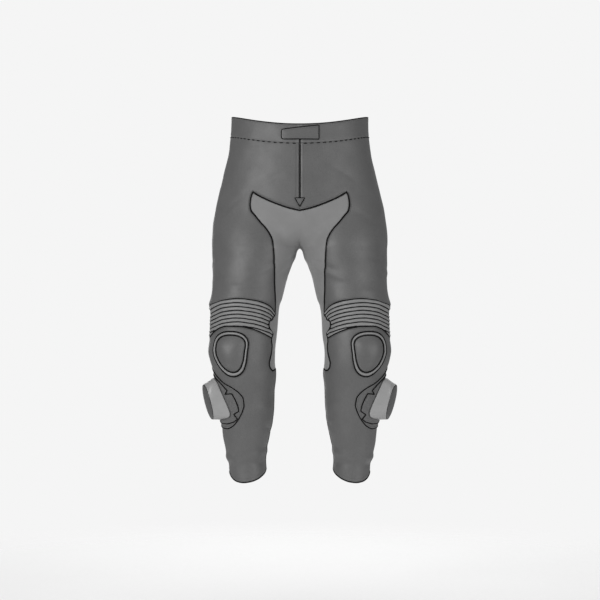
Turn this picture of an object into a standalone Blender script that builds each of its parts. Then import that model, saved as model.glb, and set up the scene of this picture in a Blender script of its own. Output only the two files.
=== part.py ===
"""Motorcycle race trousers, filled out as worn with nobody inside.

Every piece that a maker cuts and sews is its own closed solid: leather panels, a stretch gusset,
ribbed stretch panels above the knees, knee cups, and the parts that hold the knee sliders.
All pieces are read from one smooth surface, leg_surface(angle, height), in millimetres:
    height  mm above the waist, where the origin is (the trousers hang down into negative heights)
    angle   degrees round one leg: 0 at the inner leg, 90 at the front, 180 at the outer side,
            270 at the back. Above the crotch, 0 is the centre front and 360 the centre back.
The wearer faces -Y and the wearer's left leg is at +X. The right side is the left one mirrored.
"""

import math

import bmesh
import bpy
import numpy as np
from mathutils.geometry import delaunay_2d_cdt

MM = 0.001

# Thicknesses, in millimetres
LEATHER = 2.0
STRETCH = 1.6
WAISTBAND = 3.0
SEAM_GAP = 0.3
LAY_GAP = 0.4

# Heights on the body, in millimetres
CROTCH = -313.0
HIP_BLEND = 140.0
BLEND_FADE = 80.0

# Mesh spacing
COLUMNS = 20
ROW_STEP = 28.0
CLEAR_OF_SEAM = 9.0
SEAM_STEP = 24.0

# The shape of the cloth at each height, from the waist to the hem
SECTION_COLUMNS = ("height", "outer", "inner", "front", "back")
SECTIONS = (
    (60, 181.0, 0, -117, 121),
    (34, 181.0, 0, -117, 121),
    (0, 181.5, 0, -118, 122),
    (-26, 184.0, 0, -118, 124),
    (-69, 190.0, 0, -118, 128),
    (-117, 201.5, 0, -119, 133),
    (-164, 213.0, 0, -120, 139),
    (-212, 224.0, 0, -121, 142),
    (-260, 231.0, 0, -121, 141),
    (-300, 232.5, 0, -120, 136),
    (-313, 232.0, 0, -119, 134),
    (-316, 232.0, 4, -119, 133),
    (-323, 232.0, 7, -119, 130),
    (-339, 232.0, 11, -118, 123),
    (-355, 232.0, 18, -118, 116),
    (-387, 230.5, 31, -118, 102),
    (-419, 231.0, 39.5, -119, 89),
    (-450, 235.5, 47, -122, 76),
    (-462, 238.0, 52, -123, 71),
    (-484, 233.5, 55.5, -125, 63),
    (-520, 234.0, 58, -130, 50),
    (-550, 236.5, 60.5, -133, 40),
    (-583, 240.0, 64, -134, 33),
    (-610, 234.5, 64.5, -131, 33),
    (-641, 224.0, 62.5, -121, 38),
    (-690, 216.0, 66.5, -105, 50),
    (-726, 211.5, 67.5, -94, 57),
    (-768, 206.5, 72, -81, 63),
    (-821, 201.5, 83, -64, 67),
    (-848, 196.5, 88.5, -56, 69),
    (-872, 191.5, 89.5, -50, 70),
    (-886, 187.5, 89, -46, 70),
    (-960, 184.5, 87, -40, 72),
)

# The largest soft folds. A negative depth is a trough and a positive one a ridge.
FOLD_COLUMNS = ("angle", "height", "slope", "half_length", "half_width", "depth")
FOLDS = (
    (262, -548, 0.10, 62, 13, -6.0),
    (276, -584, -0.06, 66, 13, -7.5),
    (258, -618, 0.12, 56, 12, -5.5),
    (285, -352, 0.30, 70, 16, -5.0),
    (268, -392, 0.16, 54, 14, -3.5),
    (20, -372, -0.35, 46, 13, -3.5),
    (205, -336, -0.22, 50, 14, -3.0),
    (160, -458, 0.04, 40, 11, 2.0),
    (176, -866, 0.08, 48, 9, 3.0),
    (30, -852, -0.10, 48, 9, 2.5),
    (255, -846, 0.05, 52, 11, -4.0),
    (60, -878, 0.06, 44, 9, -2.5),
)

# Waist, fly and hem
WAIST_TOP_SIDE = 33.0
WAIST_FRONT_DIP = 28.0
WAIST_BACK_DIP = 4.0
BAND_HEIGHT = 51.0
ZIP_SLOT = 4.8
FLY_END = -192.0
HEM_COLUMNS = ("angle", "height")
HEM = (
    (0, -899),
    (20, -907),
    (40, -915),
    (60, -923),
    (84, -929),
    (106, -931),
    (126, -929),
    (141, -924),
    (158, -916),
    (175, -908),
    (200, -903),
    (280, -902),
    (360, -899),
)

# Seams drawn from the front or the back: distance from the centre plane, and height
SEAM_COLUMNS = ("across", "height")
GUSSET_TOP = ((0, -219), (26, -213), (56, -203), (87, -190), (108, -179), (122, -170))
GUSSET_UPPER = (
    (122, -170), (127, -184), (129, -202), (127, -216), (115, -232), (102, -248), (87, -264),
    (77, -279), (70, -296), (67, -325), (65.5, -360), (64.5, -395), (64, -425), (63, -455),
    (63, -481),
)
GUSSET_AT_RIBS = (
    (63, -481), (63.5, -487), (70, -497), (76.5, -504), (79, -512), (78.5, -519), (75, -527),
    (70, -535), (70.5, -543),
)
GUSSET_LOWER = (
    (70.5, -543), (72.5, -552), (71, -568), (72.5, -586), (76, -602), (78.5, -614), (77, -625),
    (70.5, -634),
)
GUSSET_TIP = -630.0
GUSSET_BACK_UPPER = (
    (0, -240), (30, -247), (54, -266), (66, -295), (69, -330), (69, -370), (70, -410), (72, -450),
    (75, -490), (78, -525), (80, -560),
)
GUSSET_BACK_LOWER = ((80, -560), (81, -585), (80, -608), (75, -622), (68, -630))

# Seams given round the leg
SIDE_SEAM = ((34, 190), (-170, 190), (-313, 192), (-450, 200), (-550, 211), (-640, 226),
             (-780, 232), (-960, 230))
RIB_TOP = ((20, -487), (28, -481), (42, -467), (57, -458), (77, -451), (101, -447), (127, -451),
           (146, -459), (175, -468), (215, -476))
RIB_BOTTOM = ((20, -546), (28, -542), (49, -531), (64, -525), (78, -520), (98, -517), (120, -517),
              (137, -523), (152, -533), (170, -545), (215, -558))
BACK_KNEE_SAG = 10.0

# Ribbed stretch panel above each knee
RIB_COUNT = 7
RIB_ROWS = 3
RIB_COLUMNS = 9
RIB_HEIGHT = 3.6
RIB_SINK = 1.0

# Knee cup and the padded ring round it: an egg, broad at the top
KNEE_ANGLE = 112.0
KNEE_HEIGHT = -568.0
RING_OUTER = {"half_width": 52.0, "up": 37.0, "down": 81.0}
RING_INNER = {"half_width": 42.5, "up": 28.0, "down": 69.0}
EGG_TOP_POWER = 2.6
EGG_POINTS = 28
RING_RAISE = 4.5
CUP_EDGE = 1.6
CUP_DOME = 9.0

# Panel and hook-and-loop patch that hold the knee slider: angle and height round the shin
PANEL_COLUMNS = ("angle", "height")
SLIDER_PANEL = (
    (192, -624), (170, -637), (150, -653), (134, -666), (115, -678), (103, -690), (95, -706),
    (94, -722), (97, -736), (103, -752), (112, -768), (123, -780), (140, -787), (165, -785),
    (188, -776), (205, -758), (214, -734), (216, -706), (213, -672), (206, -642),
)
LOOP_PATCH = (
    (190, -642), (168, -650), (150, -660), (139, -670), (127, -684), (134, -695), (117, -692),
    (111, -708), (107, -723), (105, -738), (117, -747), (109, -759), (117, -767), (135, -773),
    (163, -773), (182, -765), (196, -750), (187, -740), (203, -730), (205, -706), (194, -696),
    (204, -682), (200, -658),
)
SLIDER_PANEL_WALL = 1.4
LOOP_PATCH_WALL = 1.8

# Knee slider: an oval block with a sliding face
SLIDER_ANGLE = 164.0
SLIDER_HEIGHT = -708.0
SEAT_TURN = math.radians(21)
FACE_FORWARD = math.radians(12)
FACE_DOWN = math.radians(15)
FACE_LEAN = math.radians(14)
SLIDER_LENGTH = 109.0
SLIDER_WIDTH = 72.0
SLIDER_DEPTH = 28.0
SLIDER_TAPER = 0.92
SEAT_POWER = 3.6
FACE_POWER = 2.2
SLIDER_POINTS = 28
SLIDER_GAP = 0.7
FACE_WALL = 3.0
FACE_DOME = 3.0

# Waist tab, fly zip and the small patch that closes the fly's lower end
TAB_OUTLINE = ((-47, -12), (-43.5, -8.6), (49, 1.7), (49, -34.4), (-43.5, -34.4), (-47, -31))
TAB_WALL = 2.6
TAPE_HALF = 11.0
CHAIN_HALF = 2.1
TAPE_WALL = 0.9
TAPE_GAP = 0.9
CHAIN_PROUD = 0.2
ZIP_TOP = -6.0
ZIP_STEP = 14.0
FLY_PATCH_OUTLINE = ((-12.5, -186.5), (12.5, -186.5), (0, -208.5))
FLY_PATCH_WALL = 1.6
ZIP_SLIDER_SIZE = (4.2, 2.2, 10.0)

# Colour, roughness and metallic value of each finish
FINISHES = {
    "leather": ((0.133, 0.133, 0.133), 0.55, 0.0),
    "stretch": ((0.216, 0.216, 0.216), 0.85, 0.0),
    "ribs": ((0.275, 0.275, 0.275), 0.6, 0.0),
    "patch": ((0.110, 0.110, 0.110), 0.95, 0.0),
    "slider": ((0.319, 0.319, 0.319), 0.45, 0.0),
    "slider_face": ((0.140, 0.140, 0.140), 0.4, 0.0),
    "zip": ((0.030, 0.030, 0.030), 0.4, 0.6),
}


def smooth_curve(knots, values):
    """A function through the knots that never overshoots them."""
    x = np.array(knots, float)
    y = np.array(values, float)
    if x[0] > x[-1]:
        x = x[::-1]
        y = y[::-1]
    gap = np.diff(x)
    slope = np.diff(y) / gap
    product = slope[1:] * slope[:-1]
    total = np.where(product > 0, slope[1:] + slope[:-1], 1.0)
    inner = np.where(product > 0, 2 * product / total, 0.0)
    tangent = np.concatenate(([slope[0]], inner, [slope[-1]]))

    def curve(at):
        i = np.clip(np.searchsorted(x, at) - 1, 0, len(gap) - 1)
        s = np.clip((at - x[i]) / gap[i], 0, 1)
        rise = s * s * (3 - 2 * s)
        start = s * (1 - s) ** 2 * gap[i] * tangent[i]
        end = s * s * (s - 1) * gap[i] * tangent[i + 1]
        return y[i] + rise * (y[i + 1] - y[i]) + start + end

    return curve


def column_curves(table, columns):
    """One smooth curve over the table's first column for each of its other columns."""
    rows = np.array(table, float)
    return {name: smooth_curve(rows[:, 0], rows[:, k]) for k, name in enumerate(columns) if k}


SECTION = column_curves(SECTIONS, SECTION_COLUMNS)
HEM_LINE = column_curves(HEM, HEM_COLUMNS)["height"]
SIDE_ANGLE = column_curves(SIDE_SEAM, ("height", "angle"))["angle"]
RIB_TOP_LINE = column_curves(RIB_TOP, ("angle", "height"))["height"]
RIB_BOTTOM_LINE = column_curves(RIB_BOTTOM, ("angle", "height"))["height"]


def girth(height):
    """Length round one leg, or half way round the hips, in millimetres."""
    half_depth = (SECTION["back"](height) - SECTION["front"](height)) / 2
    outer = SECTION["outer"](height)
    leg = math.pi * ((outer - SECTION["inner"](height)) / 2 + half_depth)
    hips = math.pi * (outer + half_depth) / 2
    share = np.clip((height - CROTCH) / HIP_BLEND, 0, 1) ** 0.5
    return leg + share * (hips - leg)


def fold_relief(angle, height, radius):
    """How far the soft folds push the cloth out, in millimetres."""
    relief = np.zeros(np.broadcast(angle, height).shape)
    for row in FOLDS:
        fold = dict(zip(FOLD_COLUMNS, row))
        turn = (angle - fold["angle"] + 180) % 360 - 180
        along = np.radians(turn) * radius
        across = height - fold["height"] - fold["slope"] * along
        length_share = np.exp(-((along / fold["half_length"]) ** 4))
        relief = relief + fold["depth"] * length_share * np.exp(-((across / fold["half_width"]) ** 2))
    return relief


def leg_surface(angle, height):
    """Points on the outer face of the left side's cloth, in millimetres.

    The leg is an oval at each height and so are the hips. The two are blended above the crotch,
    and near the centre plane the blend starts steeply, which rounds the crotch curve."""
    angle, height = np.broadcast_arrays(np.asarray(angle, float), np.asarray(height, float))
    past_centre = (angle < 0) | (angle > 360)
    mirrored = past_centre & (height >= CROTCH)
    turn = np.where(mirrored, np.where(angle < 0, -angle, 720 - angle), angle % 360.0000001)
    t = np.radians(turn)

    outer = SECTION["outer"](height)
    inner = SECTION["inner"](height)
    front = SECTION["front"](height)
    back = SECTION["back"](height)
    middle = (front + back) / 2
    half_depth = (back - front) / 2
    half_width = (outer - inner) / 2

    leg_x = (outer + inner) / 2 - half_width * np.cos(t)
    leg_y = middle - half_depth * np.sin(t)
    hip_x = outer * np.sin(t / 2)
    hip_y = middle - half_depth * np.cos(t / 2)

    rise = np.clip((height - CROTCH) / HIP_BLEND, 0, 1)
    steep = np.sin(math.pi / 2 * np.sqrt(rise))
    gentle = rise * rise * (3 - 2 * rise)
    from_centre = np.minimum(np.minimum(turn, 360 - turn), BLEND_FADE)
    near_centre = (1 + np.cos(math.pi * from_centre / BLEND_FADE)) / 2
    share = gentle + near_centre * (steep - gentle)

    x = leg_x + share * (hip_x - leg_x)
    y = leg_y + share * (hip_y - leg_y)

    centre_x = (outer + inner) / 2
    reach = np.hypot(x - centre_x, y - middle)
    above = np.clip((height - CROTCH) / 30, 0, 1)
    push = fold_relief(turn, height, reach) * (1 - above * near_centre) / np.maximum(reach, 1)
    x = x + (x - centre_x) * push
    y = y + (y - middle) * push
    return np.stack([np.where(mirrored, -x, x), y, height], -1)


def surface_normal(angle, height):
    """Unit vectors that point out of the cloth."""
    turn_step = 0.2
    height_step = 0.6
    angle, height = np.broadcast_arrays(np.asarray(angle, float), np.asarray(height, float))
    round_leg = leg_surface(angle + turn_step, height) - leg_surface(angle - turn_step, height)
    up_leg = leg_surface(angle, height + height_step) - leg_surface(angle, height - height_step)
    normal = np.cross(round_leg, up_leg)
    on_centre = ((angle <= 0) | (angle >= 360)) & (height >= CROTCH)
    normal[..., 0] = np.where(on_centre, 0, normal[..., 0])
    at_crotch = on_centre & (height < CROTCH + 1)
    normal[at_crotch] = (0, 0, -1)
    return normal / np.linalg.norm(normal, axis=-1, keepdims=True)


def waist_top(angle):
    """Height of the waist's upper edge, which dips at the centre front."""
    share = math.cos(math.radians(angle / 2))
    dip = WAIST_FRONT_DIP if share > 0 else WAIST_BACK_DIP
    return WAIST_TOP_SIDE - dip * share * share


def band_seam(angle):
    """Height of the seam under the waistband."""
    return waist_top(angle) - BAND_HEIGHT


def angle_across(across, height, at_back=False):
    """The angle where the front, or the back, is this far from the centre plane."""
    low, high = 0.0, 180.0
    for _ in range(40):
        middle = (low + high) / 2
        turn = 360 - middle if at_back else middle
        if leg_surface(turn, height)[0] < across:
            low = middle
        else:
            high = middle
    return 360 - low if at_back else low


def seen_seam(table, at_back=False):
    """A seam given by distance from the centre plane and height, as angle and height."""
    seam = []
    for across, height in table:
        centre = 360.0 if at_back else 0.0
        angle = centre if across == 0 else angle_across(across, height, at_back)
        seam.append((angle, float(height)))
    return seam


def spaced(start, end, step=SEAM_STEP):
    """Values from start to end, about step apart."""
    return np.linspace(start, end, max(2, int(round(abs(end - start) / step)) + 1))


def line_round(height_at, start, end):
    """A seam that runs round the leg, as angle and height."""
    turn_step = 360 / COLUMNS
    return [(float(a), float(height_at(a))) for a in spaced(start, end, turn_step)]


def line_down(angle_at, start, end):
    """A seam that runs down the leg, as angle and height."""
    return [(float(angle_at(h)), float(h)) for h in spaced(start, end)]


def crotch_heights(top):
    """Heights down the centre plane to the crotch, closer together where the curve flattens."""
    steps = int(round((top - CROTCH) / 14))
    return [CROTCH + (top - CROTCH) * (1 - k / steps) ** 2 for k in range(steps + 1)]


def fly_angle(height):
    """The angle of the edge beside the zip slot."""
    return math.degrees(2 * math.asin(ZIP_SLOT / 2 / SECTION["outer"](height)))


def rib_grid():
    """Angle and height of each point of the ribbed panel: rows go down, columns go round."""
    inner = column_curves([(h, a) for a, h in seen_seam(GUSSET_AT_RIBS)], ("height", "angle"))["angle"]
    rows = RIB_COUNT * RIB_ROWS
    grid = []
    for r in range(rows + 1):
        share = r / rows

        def height_at(angle, share=share):
            return RIB_TOP_LINE(angle) + share * (RIB_BOTTOM_LINE(angle) - RIB_TOP_LINE(angle))

        start, end = 30.0, 205.0
        for _ in range(30):
            start = float(inner(height_at(start)))
            end = float(SIDE_ANGLE(height_at(end)))
        grid.append([(a, float(height_at(a))) for a in np.linspace(start, end, RIB_COLUMNS + 1)])
    return grid


RIBS = rib_grid()


def make_seams():
    """Every seam and edge of one side, as lists of (angle, height) that neighbours share."""
    side_at = SIDE_ANGLE
    top_corner = RIBS[0][-1]
    bottom_corner = RIBS[-1][-1]
    side_start = float(side_at(band_seam(190)))
    gusset_back = seen_seam(GUSSET_BACK_UPPER, at_back=True)
    gusset_back_lower = seen_seam(GUSSET_BACK_LOWER, at_back=True)
    knee_in = gusset_back[-1]
    hem_side = float(side_at(-903))
    centre_front = crotch_heights(GUSSET_TOP[0][1])
    centre_back = crotch_heights(GUSSET_BACK_UPPER[0][1])

    def knee_line(angle):
        share = (angle - bottom_corner[0]) / (knee_in[0] - bottom_corner[0])
        straight = bottom_corner[1] + share * (knee_in[1] - bottom_corner[1])
        return straight - BACK_KNEE_SAG * math.sin(math.pi * share)

    seams = {
        "band_front": line_round(band_seam, fly_angle(-40), side_start),
        "band_back": line_round(band_seam, side_start, 360),
        "fly": line_down(fly_angle, band_seam(0), FLY_END),
        "centre_front": [(0.0, FLY_END), (0.0, float(GUSSET_TOP[0][1]))],
        "gusset_top": seen_seam(GUSSET_TOP),
        "gusset_upper": seen_seam(GUSSET_UPPER),
        "rib_inner": [row[0] for row in RIBS],
        "rib_outer": [row[-1] for row in RIBS],
        "rib_top": RIBS[0],
        "rib_bottom": RIBS[-1],
        "gusset_lower": seen_seam(GUSSET_LOWER) + [(0.0, GUSSET_TIP)],
        "gusset_back_upper": gusset_back,
        "gusset_back_lower": gusset_back_lower + [(360.0, GUSSET_TIP)],
        "crotch_front": [(0.0, h) for h in centre_front],
        "crotch_back": [(360.0, h) for h in centre_back],
        "inseam_upper": line_down(lambda h: 0.0, CROTCH, GUSSET_TIP),
        "inseam_lower": line_down(lambda h: 0.0, GUSSET_TIP, HEM_LINE(0)),
        "centre_back": line_down(lambda h: 360.0, band_seam(360), GUSSET_BACK_UPPER[0][1]),
        "side_upper": line_down(side_at, band_seam(190), top_corner[1])[:-1] + [top_corner],
        "side_lower": [bottom_corner] + line_down(side_at, bottom_corner[1], HEM_LINE(hem_side))[1:],
        "knee_back": line_round(knee_line, bottom_corner[0], knee_in[0]),
        "hem_front": line_round(HEM_LINE, 0, hem_side),
        "hem_back": line_round(HEM_LINE, hem_side, 360),
    }
    seams["gusset_upper"][-1] = RIBS[0][0]
    seams["gusset_lower"][0] = RIBS[-1][0]
    seams["side_upper"][0] = seams["band_front"][-1]
    seams["side_lower"][-1] = seams["hem_front"][-1]
    seams["fly"][0] = seams["band_front"][0]
    return seams


def at_back(seam):
    """A seam on the inner leg as its back neighbour sees it, at 360 degrees."""
    return [(360.0, height) for _, height in seam]


def outline(seams, *names):
    """A closed outline from named seams; a leading minus runs one backwards, * takes it at 360."""
    points = []
    for name in names:
        seam = seams[name.strip("-*")]
        if "*" in name:
            seam = at_back(seam)
        if name.startswith("-"):
            seam = seam[::-1]
        points += seam if not points else seam[1:] if seam[0] == points[-1] else seam
    return points[:-1] if points[0] == points[-1] else points


def flat_point(angle, height):
    """Where a point of the cloth lies on the flat pattern."""
    return (angle - 180) / 360 * girth(height), height


def inside(point, loop):
    """Whether a flat point is inside a closed loop of flat points."""
    x, y = point
    odd = False
    for (x1, y1), (x2, y2) in zip(loop, loop[1:] + loop[:1]):
        if (y1 > y) != (y2 > y) and x < x1 + (y - y1) * (x2 - x1) / (y2 - y1):
            odd = not odd
    return odd


def distance_to(points, loop):
    """Shortest distance from each flat point to the loop's sides."""
    best = np.full(len(points), 1e9)
    corners = np.array(loop)
    for a, b in zip(corners, np.roll(corners, -1, 0)):
        side = b - a
        along = np.clip((points - a) @ side / (side @ side), 0, 1)
        best = np.minimum(best, np.linalg.norm(points - (a + along[:, None] * side), axis=1))
    return best


def lattice():
    """Inner mesh points that every panel draws from, as angle and height."""
    points = []
    row = 0
    height = -ROW_STEP
    while height > -930:
        shift = 0.5 * (row % 2)
        points += [((k + shift) * 360 / COLUMNS, height) for k in range(COLUMNS + 1)]
        height -= ROW_STEP
        row += 1
    for drop in (-14, -6, 6, 14):
        points += [(a, CROTCH - drop) for a in (8, 20, 36, 324, 340, 352)]
    return points


LATTICE = lattice()


def cut_panel(border, marks=(), holes=(), clear=CLEAR_OF_SEAM):
    """Triangles that fill an outline. Marks are outlines that its edges also follow."""
    loops = [border, *marks, *holes]
    flat_loops = [[flat_point(a, h) for a, h in loop] for loop in loops]
    flat_border = flat_loops[0]
    flat_holes = flat_loops[1 + len(marks):]
    points = [p for loop in loops for p in loop]
    flats = [f for loop in flat_loops for f in loop]
    edges = []
    first = 0
    for loop in loops:
        count = len(loop)
        edges += [(first + k, first + (k + 1) % count) for k in range(count)]
        first += count
    spots = [p for p in LATTICE if 0 < p[0] < 360]
    spot_flats = np.array([flat_point(a, h) for a, h in spots])
    near = np.min([distance_to(spot_flats, loop) for loop in flat_loops], axis=0)
    for spot, flat, distance in zip(spots, spot_flats.tolist(), near):
        in_hole = any(inside(flat, hole) for hole in flat_holes)
        if distance > clear and inside(flat, flat_border) and not in_hole:
            points.append(spot)
            flats.append(tuple(flat))
    made = delaunay_2d_cdt(flats, edges, [], 1, 1e-4)
    source = [ids[0] for ids in made[3]]
    triangles = []
    for face in made[2]:
        corners = [made[0][k] for k in face]
        centre = ((corners[0][0] + corners[1][0] + corners[2][0]) / 3,
                  (corners[0][1] + corners[1][1] + corners[2][1]) / 3)
        if inside(centre, flat_border) and not any(inside(centre, hole) for hole in flat_holes):
            triangles.append(tuple(source[k] for k in face))
    return np.array(points, float), triangles


def seam_inset(points, normals, triangles, gap):
    """Moves the outline's points in by half the seam gap, along the cloth."""
    directed = {(t[k], t[(k + 1) % 3]) for t in triangles for k in range(3)}
    rim = [(a, b) for a, b in directed if (b, a) not in directed]
    shifts = {}
    for a, b in rim:
        side = points[b] - points[a]
        inward = np.cross(normals[a] + normals[b], side)
        inward = inward / np.linalg.norm(inward)
        shifts.setdefault(a, []).append(inward)
        shifts.setdefault(b, []).append(inward)
    moved = points.copy()
    for k, (one, two) in shifts.items():
        moved[k] = moved[k] + (one + two) / max(1 + one @ two, 0.35) * gap / 2
    return moved


def make_wall(name, finish, points, triangles, normals, out, inward):
    """A closed wall between two offsets of the same points, made by extruding its face."""
    mesh = bpy.data.meshes.new(name)
    work = bmesh.new()
    tag = work.verts.layers.int.new("point")
    outer = points + normals * np.broadcast_to(out, len(points))[:, None]
    inner = points + normals * np.broadcast_to(inward, len(points))[:, None]
    corners = []
    for k, place in enumerate(outer):
        corner = work.verts.new(place * MM)
        corner[tag] = k
        corners.append(corner)
    faces = [work.faces.new([corners[k] for k in triangle]) for triangle in triangles]
    grown = bmesh.ops.extrude_face_region(work, geom=faces)
    for item in grown["geom"]:
        if isinstance(item, bmesh.types.BMVert):
            item.co = inner[item[tag]] * MM
    loose = [v for v in work.verts if not v.link_faces]
    bmesh.ops.delete(work, geom=loose, context="VERTS")
    bmesh.ops.recalc_face_normals(work, faces=work.faces)
    work.to_mesh(mesh)
    work.free()
    return place_object(name, mesh, finish)


def place_object(name, mesh, finish):
    """Shades a mesh smooth and adds it to the scene with its material."""
    mesh.shade_smooth()
    mesh.set_sharp_from_angle(angle=math.radians(42))
    mesh.materials.append(MATERIALS[finish])
    thing = bpy.data.objects.new(name, mesh)
    bpy.context.scene.collection.objects.link(thing)
    return thing


def mirror(points, triangles):
    """The right side's points and triangles from the left side's."""
    return points * np.array([-1.0, 1, 1]), [t[::-1] for t in triangles]


def panel_pair(name, finish, spots, triangles, out, inward, gap=SEAM_GAP):
    """A left and a right wall from angle and height points."""
    points = leg_surface(spots[:, 0], spots[:, 1])
    normals = surface_normal(spots[:, 0], spots[:, 1])
    points = seam_inset(points, normals, triangles, gap)
    make_wall(name + "_left", finish, points, triangles, normals, out, inward)
    right_points, right_triangles = mirror(points, triangles)
    right_normals, _ = mirror(normals, triangles)
    make_wall(name + "_right", finish, right_points, right_triangles, right_normals, out, inward)


def panel_across(name, finish, spots, triangles, out, inward):
    """One wall over both sides, joined along the centre plane above the crotch."""
    points = leg_surface(spots[:, 0], spots[:, 1])
    normals = surface_normal(spots[:, 0], spots[:, 1])
    on_centre = ((spots[:, 0] <= 0) | (spots[:, 0] >= 360)) & (spots[:, 1] >= CROTCH)
    count = len(points)
    twin = [k if on_centre[k] else count + k for k in range(count)]
    both = list(triangles) + [tuple(twin[k] for k in t[::-1]) for t in triangles]
    other_points, _ = mirror(points, triangles)
    other_normals, _ = mirror(normals, triangles)
    all_points = np.vstack([points, other_points])
    all_normals = np.vstack([normals, other_normals])
    all_points = seam_inset(all_points, all_normals, both, SEAM_GAP)
    make_wall(name, finish, all_points, both, all_normals, out, inward)


def grid_triangles(rows, columns):
    """Two triangles for each cell of a grid of points, seen from outside with rows going down."""
    triangles = []
    for r in range(rows - 1):
        for c in range(columns - 1):
            k = r * columns + c
            below = k + columns
            triangles += [(k, below, below + 1), (k, below + 1, k + 1)]
    return triangles


def egg(size):
    """Outline of the knee ring as angle and height, broad at the top."""
    spots = []
    for k in range(EGG_POINTS):
        turn = 2 * math.pi * k / EGG_POINTS
        side, rise = math.cos(turn), math.sin(turn)
        power = 2 / EGG_TOP_POWER if rise > 0 else 1.0
        across = size["half_width"] * math.copysign(abs(side) ** power, side)
        up = size["up"] if rise > 0 else size["down"]
        height = KNEE_HEIGHT + up * math.copysign(abs(rise) ** power, rise)
        spots.append((KNEE_ANGLE + across / girth(height) * 360, height))
    return spots


def closed_curve(table, step):
    """Points about step apart along the sides of a closed outline, on the flat pattern."""
    spots = []
    for (a1, h1), (a2, h2) in zip(table, table[1:] + table[:1]):
        (x1, y1), (x2, y2) = flat_point(a1, h1), flat_point(a2, h2)
        cuts = max(1, int(round(math.hypot(x2 - x1, y2 - y1) / step)))
        spots += [(a1 + (a2 - a1) * k / cuts, h1 + (h2 - h1) * k / cuts) for k in range(cuts)]
    return spots


PATCH_EDGE = closed_curve(list(LOOP_PATCH), 16)


def upper_panels(seams):
    """Leather thigh and seat panels."""
    border = outline(seams, "band_front", "side_upper", "-rib_top", "-gusset_upper",
                     "-gusset_top", "-centre_front", "-fly")
    panel_pair("front_thigh", "leather", *cut_panel(border), 0, -LEATHER)
    border = outline(seams, "band_back", "centre_back", "gusset_back_upper", "-knee_back",
                     "-rib_outer", "-side_upper")
    panel_pair("back_thigh", "leather", *cut_panel(border), 0, -LEATHER)


def lower_panels(seams):
    """Leather shin and calf panels. The shin carries the knee cup and the slider panel."""
    border = outline(seams, "rib_bottom", "side_lower", "-hem_front", "-inseam_lower",
                     "-gusset_lower")
    marks = [egg(RING_OUTER), egg(RING_INNER), list(SLIDER_PANEL), PATCH_EDGE]
    panel_pair("front_shin", "leather", *cut_panel(border, marks), 0, -LEATHER)
    border = outline(seams, "knee_back", "gusset_back_lower", "inseam_lower*", "-hem_back",
                     "-side_lower")
    panel_pair("back_calf", "leather", *cut_panel(border), 0, -LEATHER)


def gussets(seams):
    """Stretch panels between the legs, one in front of the inseam and one behind it."""
    border = outline(seams, "gusset_top", "gusset_upper", "rib_inner", "gusset_lower",
                     "-inseam_upper", "-crotch_front")
    panel_across("gusset_front", "stretch", *cut_panel(border, clear=7.0), 0, -STRETCH)
    border = outline(seams, "gusset_back_upper", "gusset_back_lower", "-inseam_upper*",
                     "-crotch_back")
    panel_across("gusset_back", "stretch", *cut_panel(border, clear=7.0), 0, -STRETCH)


def knee_ribs():
    """Ribbed stretch panels: the ribs are raised in the outer face over a plain inside."""
    rows, columns = len(RIBS), len(RIBS[0])
    spots = np.array([spot for row in RIBS for spot in row])
    crest = []
    for r in range(rows):
        phase = r / RIB_ROWS
        rib = math.sin(math.pi * (phase % 1)) ** 0.7 if r % RIB_ROWS else 0.0
        for c in range(columns):
            at_end = c in (0, columns - 1)
            crest.append(0.0 if at_end else RIB_HEIGHT * rib - RIB_SINK)
    panel_pair("knee_ribs", "ribs", spots, grid_triangles(rows, columns), np.array(crest), -LEATHER)


def knee_cups():
    """Domed knee cup inside a raised padded ring."""
    border = egg(RING_INNER)
    spots, triangles = cut_panel(border)
    flats = np.array([flat_point(a, h) for a, h in spots])
    depth = distance_to(flats, [flat_point(a, h) for a, h in border])
    dome = CUP_EDGE + CUP_DOME * np.sin(math.pi / 2 * np.clip(depth / 34, 0, 1)) ** 0.8
    panel_pair("knee_cup", "leather", spots, triangles, LAY_GAP + dome, LAY_GAP)

    loops = []
    for share in (0.0, 0.3, 0.7, 1.0):
        size = {k: RING_OUTER[k] + share * (RING_INNER[k] - RING_OUTER[k]) for k in RING_OUTER}
        loops.append(egg(size))
    heights = (1.2, RING_RAISE, RING_RAISE, 1.2)
    spots = np.array([s for loop in loops for s in loop])
    raised = np.array([h for h in heights for _ in range(EGG_POINTS)])
    triangles = []
    for ring in range(len(loops) - 1):
        for k in range(EGG_POINTS):
            a = ring * EGG_POINTS + k
            b = ring * EGG_POINTS + (k + 1) % EGG_POINTS
            c, d = a + EGG_POINTS, b + EGG_POINTS
            triangles += [(a, b, d), (a, d, c)]
    panel_pair("knee_ring", "ribs", spots, triangles, LAY_GAP + raised, LAY_GAP, gap=2 * SEAM_GAP)


def slider_holders():
    """Leather panel and notched hook-and-loop patch under each knee slider."""
    spots, triangles = cut_panel(list(SLIDER_PANEL), [PATCH_EDGE])
    low = LAY_GAP
    panel_pair("slider_panel", "leather", spots, triangles, low + SLIDER_PANEL_WALL, low)
    spots, triangles = cut_panel(PATCH_EDGE)
    low = 2 * LAY_GAP + SLIDER_PANEL_WALL + 0.5
    panel_pair("loop_patch", "patch", spots, triangles, low + LOOP_PATCH_WALL, low)


def slider_outline(scale, power):
    """Offsets across and along the slider, in millimetres; a higher power is a squarer oval."""
    offsets = []
    for k in range(SLIDER_POINTS):
        turn = 2 * math.pi * k / SLIDER_POINTS
        side, rise = math.cos(turn), math.sin(turn)
        across = SLIDER_WIDTH / 2 * math.copysign(abs(side) ** (2 / power), side)
        along = SLIDER_LENGTH / 2 * math.copysign(abs(rise) ** (2 / power), rise)
        offsets.append((across * scale, along * scale))
    return offsets


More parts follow.
